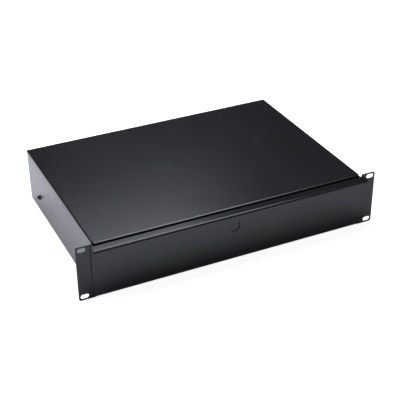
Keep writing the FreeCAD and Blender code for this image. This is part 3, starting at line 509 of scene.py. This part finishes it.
def roundHole(radius):
    # The same reach at every angle
    return lambda angles: np.full_like(angles, radius)


def slotHole(length, height):
    # Reach of a slot with round ends: r / |sin a| on its flats, else h |cos a| + sqrt(r2 - h2 sin2 a)
    radius = height / 2
    half = length / 2 - radius

    def reach(angles):
        cosine, sine = np.abs(np.cos(angles)), np.maximum(np.abs(np.sin(angles)), 1e-9)
        onFlat = radius / sine * cosine <= half
        onEnd = half * cosine + np.sqrt(np.maximum(radius ** 2 - (half * sine) ** 2, 0))
        return np.where(onFlat, radius / sine, onEnd)
    return reach


def bay(us, vs, level, axes, hole=None):
    # Point (i, j) is (us[i], vs[j]) at the level; with a hole, (centre, reach), a ring to its edge
    if hole is None:
        points = placed(us[:, None], vs[None, :], np.array(level), axes)
        return points, gridFaces(len(us), len(vs))
    return ring(edgeOf(us, vs), np.array(hole[0]), hole[1], level, axes)


def flat(usParts, vsParts, level, axes, holes=None, left=()):
    # Bays over every pair of parts; holes maps (column, row) to a hole, left names bays left out
    holes = holes or {}
    return [bay(us, vs, level, axes, holes.get((column, row)))
            for column, us in enumerate(usParts) for row, vs in enumerate(vsParts)
            if (column, row) not in left]


weldValues = {"merge": 0.004, "collapse": 0.002}


def weld(patches, probe=None, facing=None, mirrored=False):
    # Merges patches in millimetres into one skin in metres that faces the given way at the probe,
    # or faces outwards where it is closed and has no probe
    points = np.concatenate([patch[0] for patch in patches]) * millimetre
    if mirrored:
        points[:, 0] *= -1
    starts = np.cumsum([0] + [len(patch[0]) for patch in patches[:-1]])
    faces = np.concatenate([patch[1] + start for patch, start in zip(patches, starts)])
    mesh = bpy.data.meshes.new("skin")
    mesh.from_pydata(points.tolist(), [], faces.tolist())
    work = bmesh.new()
    work.from_mesh(mesh)
    bmesh.ops.remove_doubles(work, verts=work.verts, dist=weldValues["merge"] * millimetre)
    bmesh.ops.dissolve_degenerate(work, edges=work.edges, dist=weldValues["collapse"] * millimetre)
    bmesh.ops.recalc_face_normals(work, faces=work.faces)
    work.normal_update()
    if probe is None:
        isInsideOut = work.calc_volume(signed=True) < 0
    else:
        place, towards = Vector(probe) * millimetre, Vector(facing)
        if mirrored:
            place.x *= -1
            towards.x *= -1
        nearest = min(work.faces, key=lambda face: (face.calc_center_median() - place).length)
        isInsideOut = nearest.normal.dot(towards) < 0
    if isInsideOut:
        bmesh.ops.reverse_faces(work, faces=work.faces)
    work.to_mesh(mesh)
    work.free()
    return mesh


# Angles in degrees: creases of a piece without thickness, and edges that a sheet's bevel rounds
pieceValues = {"creaseFrom": 28, "bevelFrom": 40, "bevelSegments": 2}


def makePiece(name, skins, body, nodes, finish, thickness=None, bevel=None):
    # Joins skins into one piece; a sheet then gets its thickness, edge rounding and even shading
    work = bmesh.new()
    for skin in skins:
        work.from_mesh(skin)
    mesh = bpy.data.meshes.new(name)
    work.to_mesh(mesh)
    work.free()
    mesh.polygons.foreach_set("use_smooth", np.ones(len(mesh.polygons), dtype=bool))
    if not thickness:
        mesh.set_sharp_from_angle(angle=math.radians(pieceValues["creaseFrom"]))
    mesh.materials.append(finishes[finish])
    piece = bpy.data.objects.new(name, mesh)
    scene.collection.objects.link(piece)
    if thickness:
        solid = piece.modifiers.new("thickness", "SOLIDIFY")
        solid.thickness = thickness * millimetre
        solid.offset = -1
        solid.use_even_offset = True
        solid.use_quality_normals = True
    if bevel:
        edge = piece.modifiers.new("edges", "BEVEL")
        edge.width = bevel * millimetre
        edge.segments = pieceValues["bevelSegments"]
        edge.limit_method = "ANGLE"
        edge.angle_limit = math.radians(pieceValues["bevelFrom"])
        edge.miter_outer = "MITER_ARC"
    if thickness or bevel:
        piece.modifiers.new("shading", "WEIGHTED_NORMAL").keep_sharp = True
    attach(piece, body)
    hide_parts(*nodes)


# Cover: top sheet with short skirts and flanges front and back
coverValues = {
    "half": 216.0, "top": 43.35, "bend": 2.2, "sheet": 1.2, "front": 0.8, "back": 306.3,
    "skirtFront": 4.5, "seam": 37.35, "flangeHalf": 213.0, "frontLow": 33.35, "rearLow": 31.35,
    "holeX": 193.0, "holeY": 288.7, "holeRadius": 2.3, "holeBay": 7.0, "holeLines": 9, "spacing": 6.0,
    "edge": 0.25,
}


def makeCover(values):
    # Flat bays with a hole in each back corner, then strips swept along the sides and across the ends
    top, bend, half = values["top"], values["bend"], values["half"]
    inside, low = half - bend, top - bend
    wrapBack = values["back"] - bend
    holeX, holeY, reach = values["holeX"], values["holeY"], values["holeBay"]
    across = steps([-values["flangeHalf"], -holeX - reach, reach - holeX, holeX - reach, holeX + reach,
                    values["flangeHalf"]], values["spacing"])
    across[1], across[3] = (np.linspace(centre - reach, centre + reach, values["holeLines"])
                            for centre in (-holeX, holeX))
    depth = steps([values["skirtFront"], holeY - reach, holeY + reach, wrapBack], values["spacing"])
    depth[1] = np.linspace(holeY - reach, holeY + reach, values["holeLines"])
    hole = roundHole(values["holeRadius"])
    patches = flat(across, depth, top, "xyz", {(1, 1): ((-holeX, holeY), hole),
                                               (3, 1): ((holeX, holeY), hole)})
    lines = joined(depth)
    for side in (-1, 1):
        strip = np.array([(side * values["flangeHalf"], top), (side * inside, top)])
        turn = arc((inside, low), bend, 90, 0) * (side, 1)
        skirt = np.array([(side * half, low), (side * half, values["seam"])])
        patches += [sweep(strip, lines, "xzy"), sweep(turn, lines, "xzy"), sweep(skirt, lines, "xzy"),
                    sweep(turn, np.array([wrapBack, values["back"]]), "xzy")]
    front, back = values["front"], values["back"]
    frontPath = np.vstack([(values["skirtFront"], top), arc((front + bend, low), bend, 90, 180),
                           (front, values["frontLow"])])
    rearPath = np.vstack([arc((wrapBack, low), bend, 90, 0), (back, values["rearLow"])])
    patches += [sweep(frontPath, joined(across), "yzx"), sweep(rearPath, joined(across), "yzx")]
    skin = weld(patches, (0, 150, top), (0, 0, 1))
    makePiece("coverSheet", [skin], "case", ["cover"], "blackPaint", values["sheet"], values["edge"])


makeCover(coverValues)
print("stage: cover")

# Side panels: wall, ear with two slots, rear flange, lower flange and a set-in tongue
sideValues = {
    "half": 216.0, "bottom": -44.05, "bend": 2.2, "sheet": 1.2, "front": 3.0, "wrapBack": 304.1,
    "seam": 37.25, "foldTop": 40.35, "foldBack": 4.2, "foldRadius": 1.8, "earEnd": 241.3,
    "earHalf": 44.05, "earCorner": 3.5, "slot": (232.55, 38.1, 12.5, 7.0), "slotBay": 30.0,
    "rearFlange": (204.0, -41.05, 31.25), "lowerFlange": 202.0,
    "hole": (231.8, -20.55, 1.3), "holeBay": 6.0, "holeLines": 9,
    "rivets": (208.0, (30.0, 110.0, 190.0, 270.0), 3.1), "rivetBay": 7.0,
    "tongue": (214.8, 36.05, 40.85, 4.5, 299.9), "edge": 0.25, "depthSpacing": 6.0,
    "heightSpacing": 4.0, "bendLines": 3, "earLines": 17, "earEndLines": 6, "flangeLines": 8,
    "tongueLines": 30,
}


def makeSide(name, node, values, mirrored):
    # The wall is flat bays, and the fold to the ear, the ear and the flanges share its lines
    half, bend, bottom = values["half"], values["bend"], values["bottom"]
    inside, low = half - bend, bottom + bend
    holeY, holeZ, holeRadius = values["hole"]
    flangeX, flangeLow, flangeHigh = values["rearFlange"]
    rivetX, rivetYs, rivetRadius = values["rivets"]
    holeBay, rivetBay, slotBay = values["holeBay"], values["rivetBay"], values["slotBay"]
    lineY = sorted([values["front"], holeY - holeBay, holeY + holeBay, values["wrapBack"]]
                   + [y + step for y in rivetYs for step in (-rivetBay, rivetBay)])
    column = lineY.index(holeY - holeBay)
    depth = steps(lineY, values["depthSpacing"])
    depth[column] = np.linspace(holeY - holeBay, holeY + holeBay, values["holeLines"])
    heights = steps([low, flangeLow, -slotBay, holeZ - holeBay, holeZ + holeBay, slotBay, flangeHigh,
                     values["seam"]], values["heightSpacing"])
    heights[3] = np.linspace(holeZ - holeBay, holeZ + holeBay, values["holeLines"])
    wallHole = {(column, 3): ((holeY, holeZ), roundHole(holeRadius))}
    patches = flat(depth, heights, half, "yzx", wallHole)

    # Fold and ear; the skin is the face away from the front
    below = np.linspace(bottom, low, values["bendLines"])
    above = np.linspace(values["seam"], values["foldTop"], values["bendLines"])
    wallLines = joined(heights)
    foldLines = joined([below, wallLines, above])
    radius = values["foldRadius"]
    foldPath = np.vstack([arc((half + radius, radius), radius, 270, 180), (half, values["front"])])
    patches.append(sweep(foldPath, foldLines, "xyz"))
    upper = np.array([(half, values["front"]), (half, values["foldBack"])])
    patches.append(sweep(upper, above, "xyz"))
    earLines = np.linspace(half + radius, values["earEnd"], values["earLines"])
    slotX, slotZ, slotLength, slotHeight = values["slot"]
    corner = values["earEnd"] - values["earCorner"], values["earHalf"] - values["earCorner"]
    middle = wallLines[(wallLines > -slotBay - 0.01) & (wallLines < slotBay + 0.01)]
    patches.append(bay(earLines, middle, 0.0, "xzy"))
    top = joined([wallLines[wallLines > slotBay - 0.01], above,
                  np.linspace(values["foldTop"], values["earHalf"], values["earEndLines"])])
    foot = joined([below, wallLines[wallLines < 0.01 - slotBay]])
    for lines, up in ((top, 1), (foot, -1)):
        loop = rounded(edgeOf(earLines, lines), np.array((corner[0], up * corner[1])),
                       values["earCorner"], (1, up))
        patches.append(ring(loop, np.array((slotX, up * slotZ)), slotHole(slotLength, slotHeight),
                            0.0, "xzy"))

    # Rear flange, lower flange with its rivet seats, and the tongue behind the cover's skirt
    flangeLines = wallLines[(wallLines > flangeLow - 0.01) & (wallLines < flangeHigh + 0.01)]
    rearPath = np.vstack([arc((inside, values["wrapBack"]), bend, 0, 90),
                          (flangeX, values["wrapBack"] + bend)])
    patches.append(sweep(rearPath, flangeLines, "xyz"))
    patches.append(sweep(arc((inside, low), bend, 0, -90), joined(depth), "xzy"))
    acrossFlange = [np.linspace(values["lowerFlange"], inside, values["flangeLines"])]
    seats = {(0, lineY.index(y - rivetBay)): ((rivetX, y), roundHole(rivetRadius)) for y in rivetYs}
    patches += flat(acrossFlange, depth, bottom, "xyz", seats)
    skins = [weld(patches, (half, 150, 0), (1, 0, 0), mirrored)]
    tongueX, tongueLow, tongueHigh, tongueFront, tongueBack = values["tongue"]
    tongue = bay(np.linspace(tongueFront, tongueBack, values["tongueLines"]),
                 np.linspace(tongueLow, tongueHigh, values["bendLines"]), tongueX, "yzx")
    skins.append(weld([tongue], (tongueX, 150, 38), (1, 0, 0), mirrored))
    makePiece(name, skins, "case", [node], "blackPaint", values["sheet"], values["edge"])


makeSide("rightSideSheet", "right_side_panel", sideValues, False)
makeSide("leftSideSheet", "left_side_panel", sideValues, True)
print("stage: side panels")

# Drawer front: panel, pull lip with rolled nose and a hem under it in a dark matt finish
# that paints the shade under the nose, half punched lock blank
frontValues = {
    "half": 219.5, "low": -41.55, "back": -2.0, "sheet": 1.5, "top": 42.25, "bend": 2.5, "edge": 0.18,
    "nose": -16.7, "noseRadius": 1.6, "noseTurn": 135, "paintedNose": 10, "return": 5.0,
    "noseLines": 13, "bendLines": 9, "lockZ": 14.55, "lockRadius": 9.5, "lockFlats": 16.2,
    "lockSet": 0.8, "lockBay": 12.0, "lockLines": 17, "blankLines": 96, "blankGap": 0.03,
    "slit": 0.7, "slitFrom": -111.6, "slitTo": 31.5, "acrossSpacing": 6.0, "heightSpacing": 5.0,
}


def makeDrawerFront(values):
    # Flat bays round the lock blank, then the lip's profile swept across: bend, flat, nose and hem
    half, back, top, bend = values["half"], values["back"], values["top"], values["bend"]
    lockZ, lockBay = values["lockZ"], values["lockBay"]
    across = steps([-half, -lockBay, lockBay, half], values["acrossSpacing"])
    across[1] = np.linspace(-lockBay, lockBay, values["lockLines"])
    heights = steps([values["low"], lockZ - lockBay, lockZ + lockBay, top - bend],
                    values["heightSpacing"])
    heights[1] = np.linspace(lockZ - lockBay, lockZ + lockBay, values["lockLines"])

    def lockReach(angles):
        # The nearer of the circle and the upright flats
        flats = values["lockFlats"] / 2 / np.maximum(np.abs(np.cos(angles)), 1e-9)
        return np.minimum(values["lockRadius"], flats)

    def blankReach(angles):
        # The same, set in by the slit from the lower left round to the top of the right flat
        degrees = np.degrees(angles)
        isOpen = (degrees > values["slitFrom"]) & (degrees < values["slitTo"])
        flats = (values["lockFlats"] / 2 - values["slit"]) / np.maximum(np.abs(np.cos(angles)), 1e-9)
        return np.where(isOpen, np.minimum(values["lockRadius"] - values["slit"], flats),
                        lockReach(angles) - values["blankGap"])

    patches = flat(across, heights, back, "xzy", {(1, 1): ((0.0, lockZ), lockReach)})
    radius, painted = values["noseRadius"], values["paintedNose"]
    nose = arc((values["nose"] + radius, top - radius), radius, 90, 90 + values["noseTurn"],
               values["noseLines"])
    lip = np.vstack([arc((back - bend, top - bend), bend, 0, 90, values["bendLines"]), nose[:painted]])
    patches.append(sweep(lip, joined(across), "yzx"))
    skins = [weld(patches, (100, back, 0), (0, 1, 0))]
    turn = np.radians(np.linspace(-180, 180, values["blankLines"], endpoint=False))
    outline = (np.column_stack([np.cos(turn), np.sin(turn)]) * blankReach(turn)[:, None]
               + (0.0, lockZ))
    blank = ring(outline, np.array((0.0, lockZ)), roundHole(0.0), back + values["lockSet"], "xzy")
    skins.append(weld([blank], (0, back + values["lockSet"], lockZ), (0, 1, 0)))
    makePiece("drawerFrontSheet", skins, "drawer", ["drawer_front"], "frontPaint",
              values["sheet"], values["edge"])

    # The hem takes over on the nose and leaves it along its tangent; its dark matt finish is painted
    # shade under the nose
    heading = math.radians(180 + values["noseTurn"])
    reach = np.array([[0.5], [1.0]]) * values["return"]
    hem = np.vstack([nose[painted - 1:],
                     nose[-1] + reach * (math.cos(heading), math.sin(heading))])
    hemSkin = weld([sweep(hem, joined(across), "yzx")], (100, *hem[-1]), (0, -1, -1))
    makePiece("pullHemSheet", [hemSkin], "drawer", ["drawer_front"], "hemPaintedShade", values["sheet"])


makeDrawerFront(frontValues)
print("stage: drawer front")

# Tray: one folded sheet with flanged walls, and welded front and back walls
trayValues = {
    "inside": 200.9, "flange": 208.1, "top": 25.95, "floor": -37.85, "bend": 2.2, "inner": 1.0,
    "front": -1.5, "back": 296.5, "sheet": 1.2, "backFlange": 299.5,
    "notchHalf": 13.0, "notchLow": 0.95, "edge": 0.25, "lines": 40, "acrossSpacing": 8.0,
    "heightSpacing": 6.0,
}


def makeTray(values):
    # The floor and walls are one profile swept along the depth; the front wall is flat bays with a
    # notch left out, and the back wall a profile swept across
    inside, top, floor = values["inside"], values["top"], values["floor"]
    bend, inner = values["bend"], values["inner"]
    rightPath = np.vstack([(0.0, floor), arc((inside - inner, floor + inner), inner, -90, 0),
                           arc((inside + bend, top - bend), bend, 180, 90),
                           (values["flange"], top)])
    section = np.vstack([rightPath[:0:-1] * (-1, 1), rightPath])
    lines = np.linspace(values["front"], values["back"], values["lines"])
    skins = [weld([sweep(section, lines, "xzy")], (100, 150, floor), (0, 0, 1))]
    notch = values["notchHalf"]
    across = steps([-inside, -notch, notch, inside], values["acrossSpacing"])
    heights = steps([floor, values["notchLow"], top], values["heightSpacing"])
    face = values["front"] + values["sheet"]
    wall = flat(across, heights, face, "xzy", left=[(1, 1)])
    skins.append(weld(wall, (100, face, 0), (0, 1, 0)))
    face = values["back"] - values["sheet"]
    backPath = np.vstack([(face, floor), arc((face + bend, top - bend), bend, 180, 90),
                          (values["backFlange"], top)])
    skins.append(weld([sweep(backPath, joined(across), "yzx")], (100, face, 0), (0, -1, 0)))
    makePiece("traySheet", skins, "drawer", ["drawer_tray"], "blackPaint",
              values["sheet"], values["edge"])


makeTray(trayValues)
print("stage: tray")

# Fasteners: threaded shanks, hexagon nuts, pan heads with a cross recess, and rivets
fastenerValues = {
    "shank": 1.95, "pitch": 0.7, "threadDepth": 0.3, "threadSteps": 6, "tip": 0.3, "turns": 48,
    "nutFlats": 7.0, "nutHeight": 3.2, "nutFace": 0.95, "nutAngle": 30.0, "bore": 2.05,
    "boreEdge": 0.3, "head": 4.0, "headPower": 5.0, "headSpacing": 0.3, "crossHalf": 0.45,
    "crossReach": 2.0, "crossWall": 0.1, "crossSlope": 0.45,
}


def turned(radii, levels, centre, axes):
    # Point (i, j) is centre + radii[i, j] * (cos a, sin a) at levels[i, j], with a = 2 pi i / turns
    turns = fastenerValues["turns"]
    angles = 2 * math.pi * np.arange(turns)[:, None] / turns
    radii, levels, angles = np.broadcast_arrays(radii, levels, angles)
    points = placed(centre[0] + radii * np.cos(angles), centre[1] + radii * np.sin(angles), levels, axes)
    return points, gridFaces(turns, radii.shape[1], closed=True)


def thread(values, start, end, centre, axes):
    # r = R - d * |2 f - 1| with f the fraction of h / pitch - a / 2 pi, and near the end at most
    # R - tip + |h - end|
    turns = values["turns"]
    count = int(abs(end - start) * values["threadSteps"] / values["pitch"])
    levels = np.linspace(start, end, count)[None, :]
    share = (levels / values["pitch"] - np.arange(turns)[:, None] / turns) % 1
    radii = values["shank"] - values["threadDepth"] * np.abs(2 * share - 1)
    radii = np.minimum(radii, values["shank"] - values["tip"] + np.abs(levels - end))
    radii = np.hstack([np.zeros((turns, 1)), radii, np.zeros((turns, 1))])
    return turned(radii, np.hstack([levels[:, :1], levels, levels[:, -1:]]), centre, axes)


def nut(values, low, centre, axes):
    # Hexagon reach F / 2 / cos(a mod 60 - 30), cut by cones h - (r - c) * tan(angle) at both faces
    turns, high = values["turns"], low + values["nutHeight"]
    degrees = 360 * np.arange(turns)[:, None] / turns
    corners = values["nutFlats"] / 2 / np.cos(np.radians(degrees % 60 - 30))
    face = np.full_like(corners, values["nutFlats"] / 2 * values["nutFace"])
    cone = (corners - face) * math.tan(math.radians(values["nutAngle"]))
    bore, edge = np.full_like(corners, values["bore"]), values["boreEdge"]
    even = np.ones_like(corners)
    rows = [(bore + edge, low * even), (bore, (low + edge) * even), (bore, (high - edge) * even),
            (bore + edge, high * even), (face, high * even), (corners, high - cone),
            (corners, low + cone), (face, low * even), (bore + edge, low * even)]
    radii, levels = (np.hstack(column) for column in zip(*rows))
    return turned(radii, levels, centre, axes)


def panHead(values, seat, crown, depth, centre, axes):
    # Disk x = u sqrt(1 - v2 / 2), y = v sqrt(1 - u2 / 2); height (1 - r^p)^(2 / p) less the cross
    # recess, and the same disk flat at the seat as the underside
    radius, half, reach = values["head"], values["crossHalf"], values["crossReach"]
    wall = values["crossWall"]
    marks = [0, half - wall, half, reach - wall, reach, radius]
    side = joined(steps(marks, values["headSpacing"])) / radius
    line = np.concatenate([-side[:0:-1], side])
    u, v = np.meshgrid(line, line, indexing="ij")
    x, y = radius * u * np.sqrt(1 - v ** 2 / 2), radius * v * np.sqrt(1 - u ** 2 / 2)
    away = np.minimum(np.hypot(x, y) / radius, 1)
    dome = (1 - away ** values["headPower"]) ** (2 / values["headPower"])
    arms = np.minimum(np.maximum(np.abs(x) - half, np.abs(y) - reach),
                      np.maximum(np.abs(x) - reach, np.abs(y) - half))
    recess = depth * np.clip(-arms / wall, 0, 1) * (1 - values["crossSlope"] * np.hypot(x, y) / reach)
    rise = np.maximum(abs(crown - seat) * dome - recess, 0)
    levels = seat + math.copysign(1, crown - seat) * rise
    faces = gridFaces(len(line), len(line))
    return [(placed(centre[0] + x, centre[1] + y, height, axes), faces)
            for height in (levels, np.full_like(levels, seat))]


def screw(values, seat, headHeight, length, recess, centre, axes):
    # Head and shank; negative heights and lengths point the other way
    return panHead(values, seat, seat + headHeight, recess, centre, axes) + [
        thread(values, seat, seat + length, centre, axes)]


def makeFasteners(name, body, node, patches, finish=None):
    # One piece in the finish of its node, unless another is named
    makePiece(name, [weld(patches)], body, [node], finish or finishOfNode[node])


# Rear screws stand on the flanges or on the panel, with their nuts in front of the panel; each place
# is (x, z, seat, nut's low face)
rearValues = {
    "places": [(-100.0, 36.35, 306.3, 300.7), (100.0, 36.35, 306.3, 300.7),
               (-209.0, 10.95, 306.3, 300.7), (209.0, 10.95, 306.3, 300.7),
               (-100.0, -34.85, 305.1, 299.5), (100.0, -34.85, 305.1, 299.5)],
    "headHeight": 2.6, "length": -7.0, "recess": 1.2,
}


def makeRearSet(values):
    screws, nuts = [], []
    for x, z, seat, nutLow in values["places"]:
        screws += screw(fastenerValues, seat, values["headHeight"], values["length"],
                        values["recess"], (x, z), "xzy")
        nuts.append(nut(fastenerValues, nutLow, (x, z), "xzy"))
    makeFasteners("rearScrewSet", "case", "rear_screws", screws)
    makeFasteners("rearNutSet", "case", "rear_nuts", nuts)


makeRearSet(rearValues)

# Slide bolts with flat heads inside the outer members, nuts on the outside of the case; a head is
# (radius, crown, seat)
slideBoltValues = {
    "ys": (38.0, 254.0), "z": -18.05, "head": (3.4, 213.3, 214.1), "headChamfer": 0.2, "end": 222.0,
    "nutLow": 216.0,
}


def makeSlideBolts(values):
    (radius, crown, seat), chamfer = values["head"], values["headChamfer"]
    profile = np.array([(0, crown), (radius - chamfer, crown), (radius, crown + chamfer),
                        (radius, seat), (0, seat)])
    bolts, nuts = [], []
    for side in (-1, 1):
        for y in values["ys"]:
            centre = (y, values["z"])
            bolts += [thread(fastenerValues, side * seat, side * values["end"], centre, "yzx"),
                      turned(profile[None, :, 0], side * profile[None, :, 1], centre, "yzx")]
            low = values["nutLow"] if side > 0 else -values["nutLow"] - fastenerValues["nutHeight"]
            nuts.append(nut(fastenerValues, low, centre, "yzx"))
    makeFasteners("slideBoltSet", "case", "slide_bolts", bolts)
    makeFasteners("slideBoltNutSet", "case", "slide_bolt_nuts", nuts)


makeSlideBolts(slideBoltValues)

# Weld studs of the front and the nuts on them inside the tray
studValues = {
    "places": [(-150.0, -24.05), (150.0, -24.05), (-150.0, 15.95), (150.0, 15.95),
               (-50.0, -24.05), (50.0, -24.05)],
    "start": -2.4, "end": 5.5, "nutLow": -0.3,
}


def makeStuds(values):
    shanks = [thread(fastenerValues, values["start"], values["end"], place, "xzy")
              for place in values["places"]]
    nuts = [nut(fastenerValues, values["nutLow"], place, "xzy") for place in values["places"]]
    makeFasteners("frontStudSet", "drawer", "drawer_front", shanks, "frontPaint")
    makeFasteners("frontNutSet", "drawer", "front_nuts", nuts)


makeStuds(studValues)

# Tray screws from inside the tray into the inner slide members
trayScrewValues = {
    "ys": (38.0, 110.0, 254.0), "z": -18.05, "seat": 200.9, "headHeight": 1.8, "length": 3.1,
    "recess": 0.9,
}


def makeTrayScrews(values):
    patches = []
    for side in (-1, 1):
        for y in values["ys"]:
            patches += screw(fastenerValues, side * values["seat"], -side * values["headHeight"],
                             side * values["length"], values["recess"], (y, values["z"]), "yzx")
    makeFasteners("trayScrewSet", "drawer", "tray_screws", patches)


makeTrayScrews(trayScrewValues)

# Flush rivets through the base: (radius, height) rows from the head up to the formed tail
rivetValues = {
    "x": 208.0, "ys": (30.0, 110.0, 190.0, 270.0),
    "rows": [(0, -44.05), (2.85, -44.05), (3.0, -43.9), (3.0, -43.45), (1.6, -43.45), (1.6, -41.65),
             (2.5, -41.65), (2.6, -41.45), (2.6, -41.2), (2.3, -40.75), (1.6, -40.45), (0, -40.35)],
}


def makeRivets(values):
    rows = np.array(values["rows"])
    patches = [turned(rows[None, :, 0], rows[None, :, 1], (side * values["x"], y), "xyz")
               for side in (-1, 1) for y in values["ys"]]
    makeFasteners("baseRivetSet", "case", "base_rivets", patches)


makeRivets(rivetValues)
print("stage: fasteners")
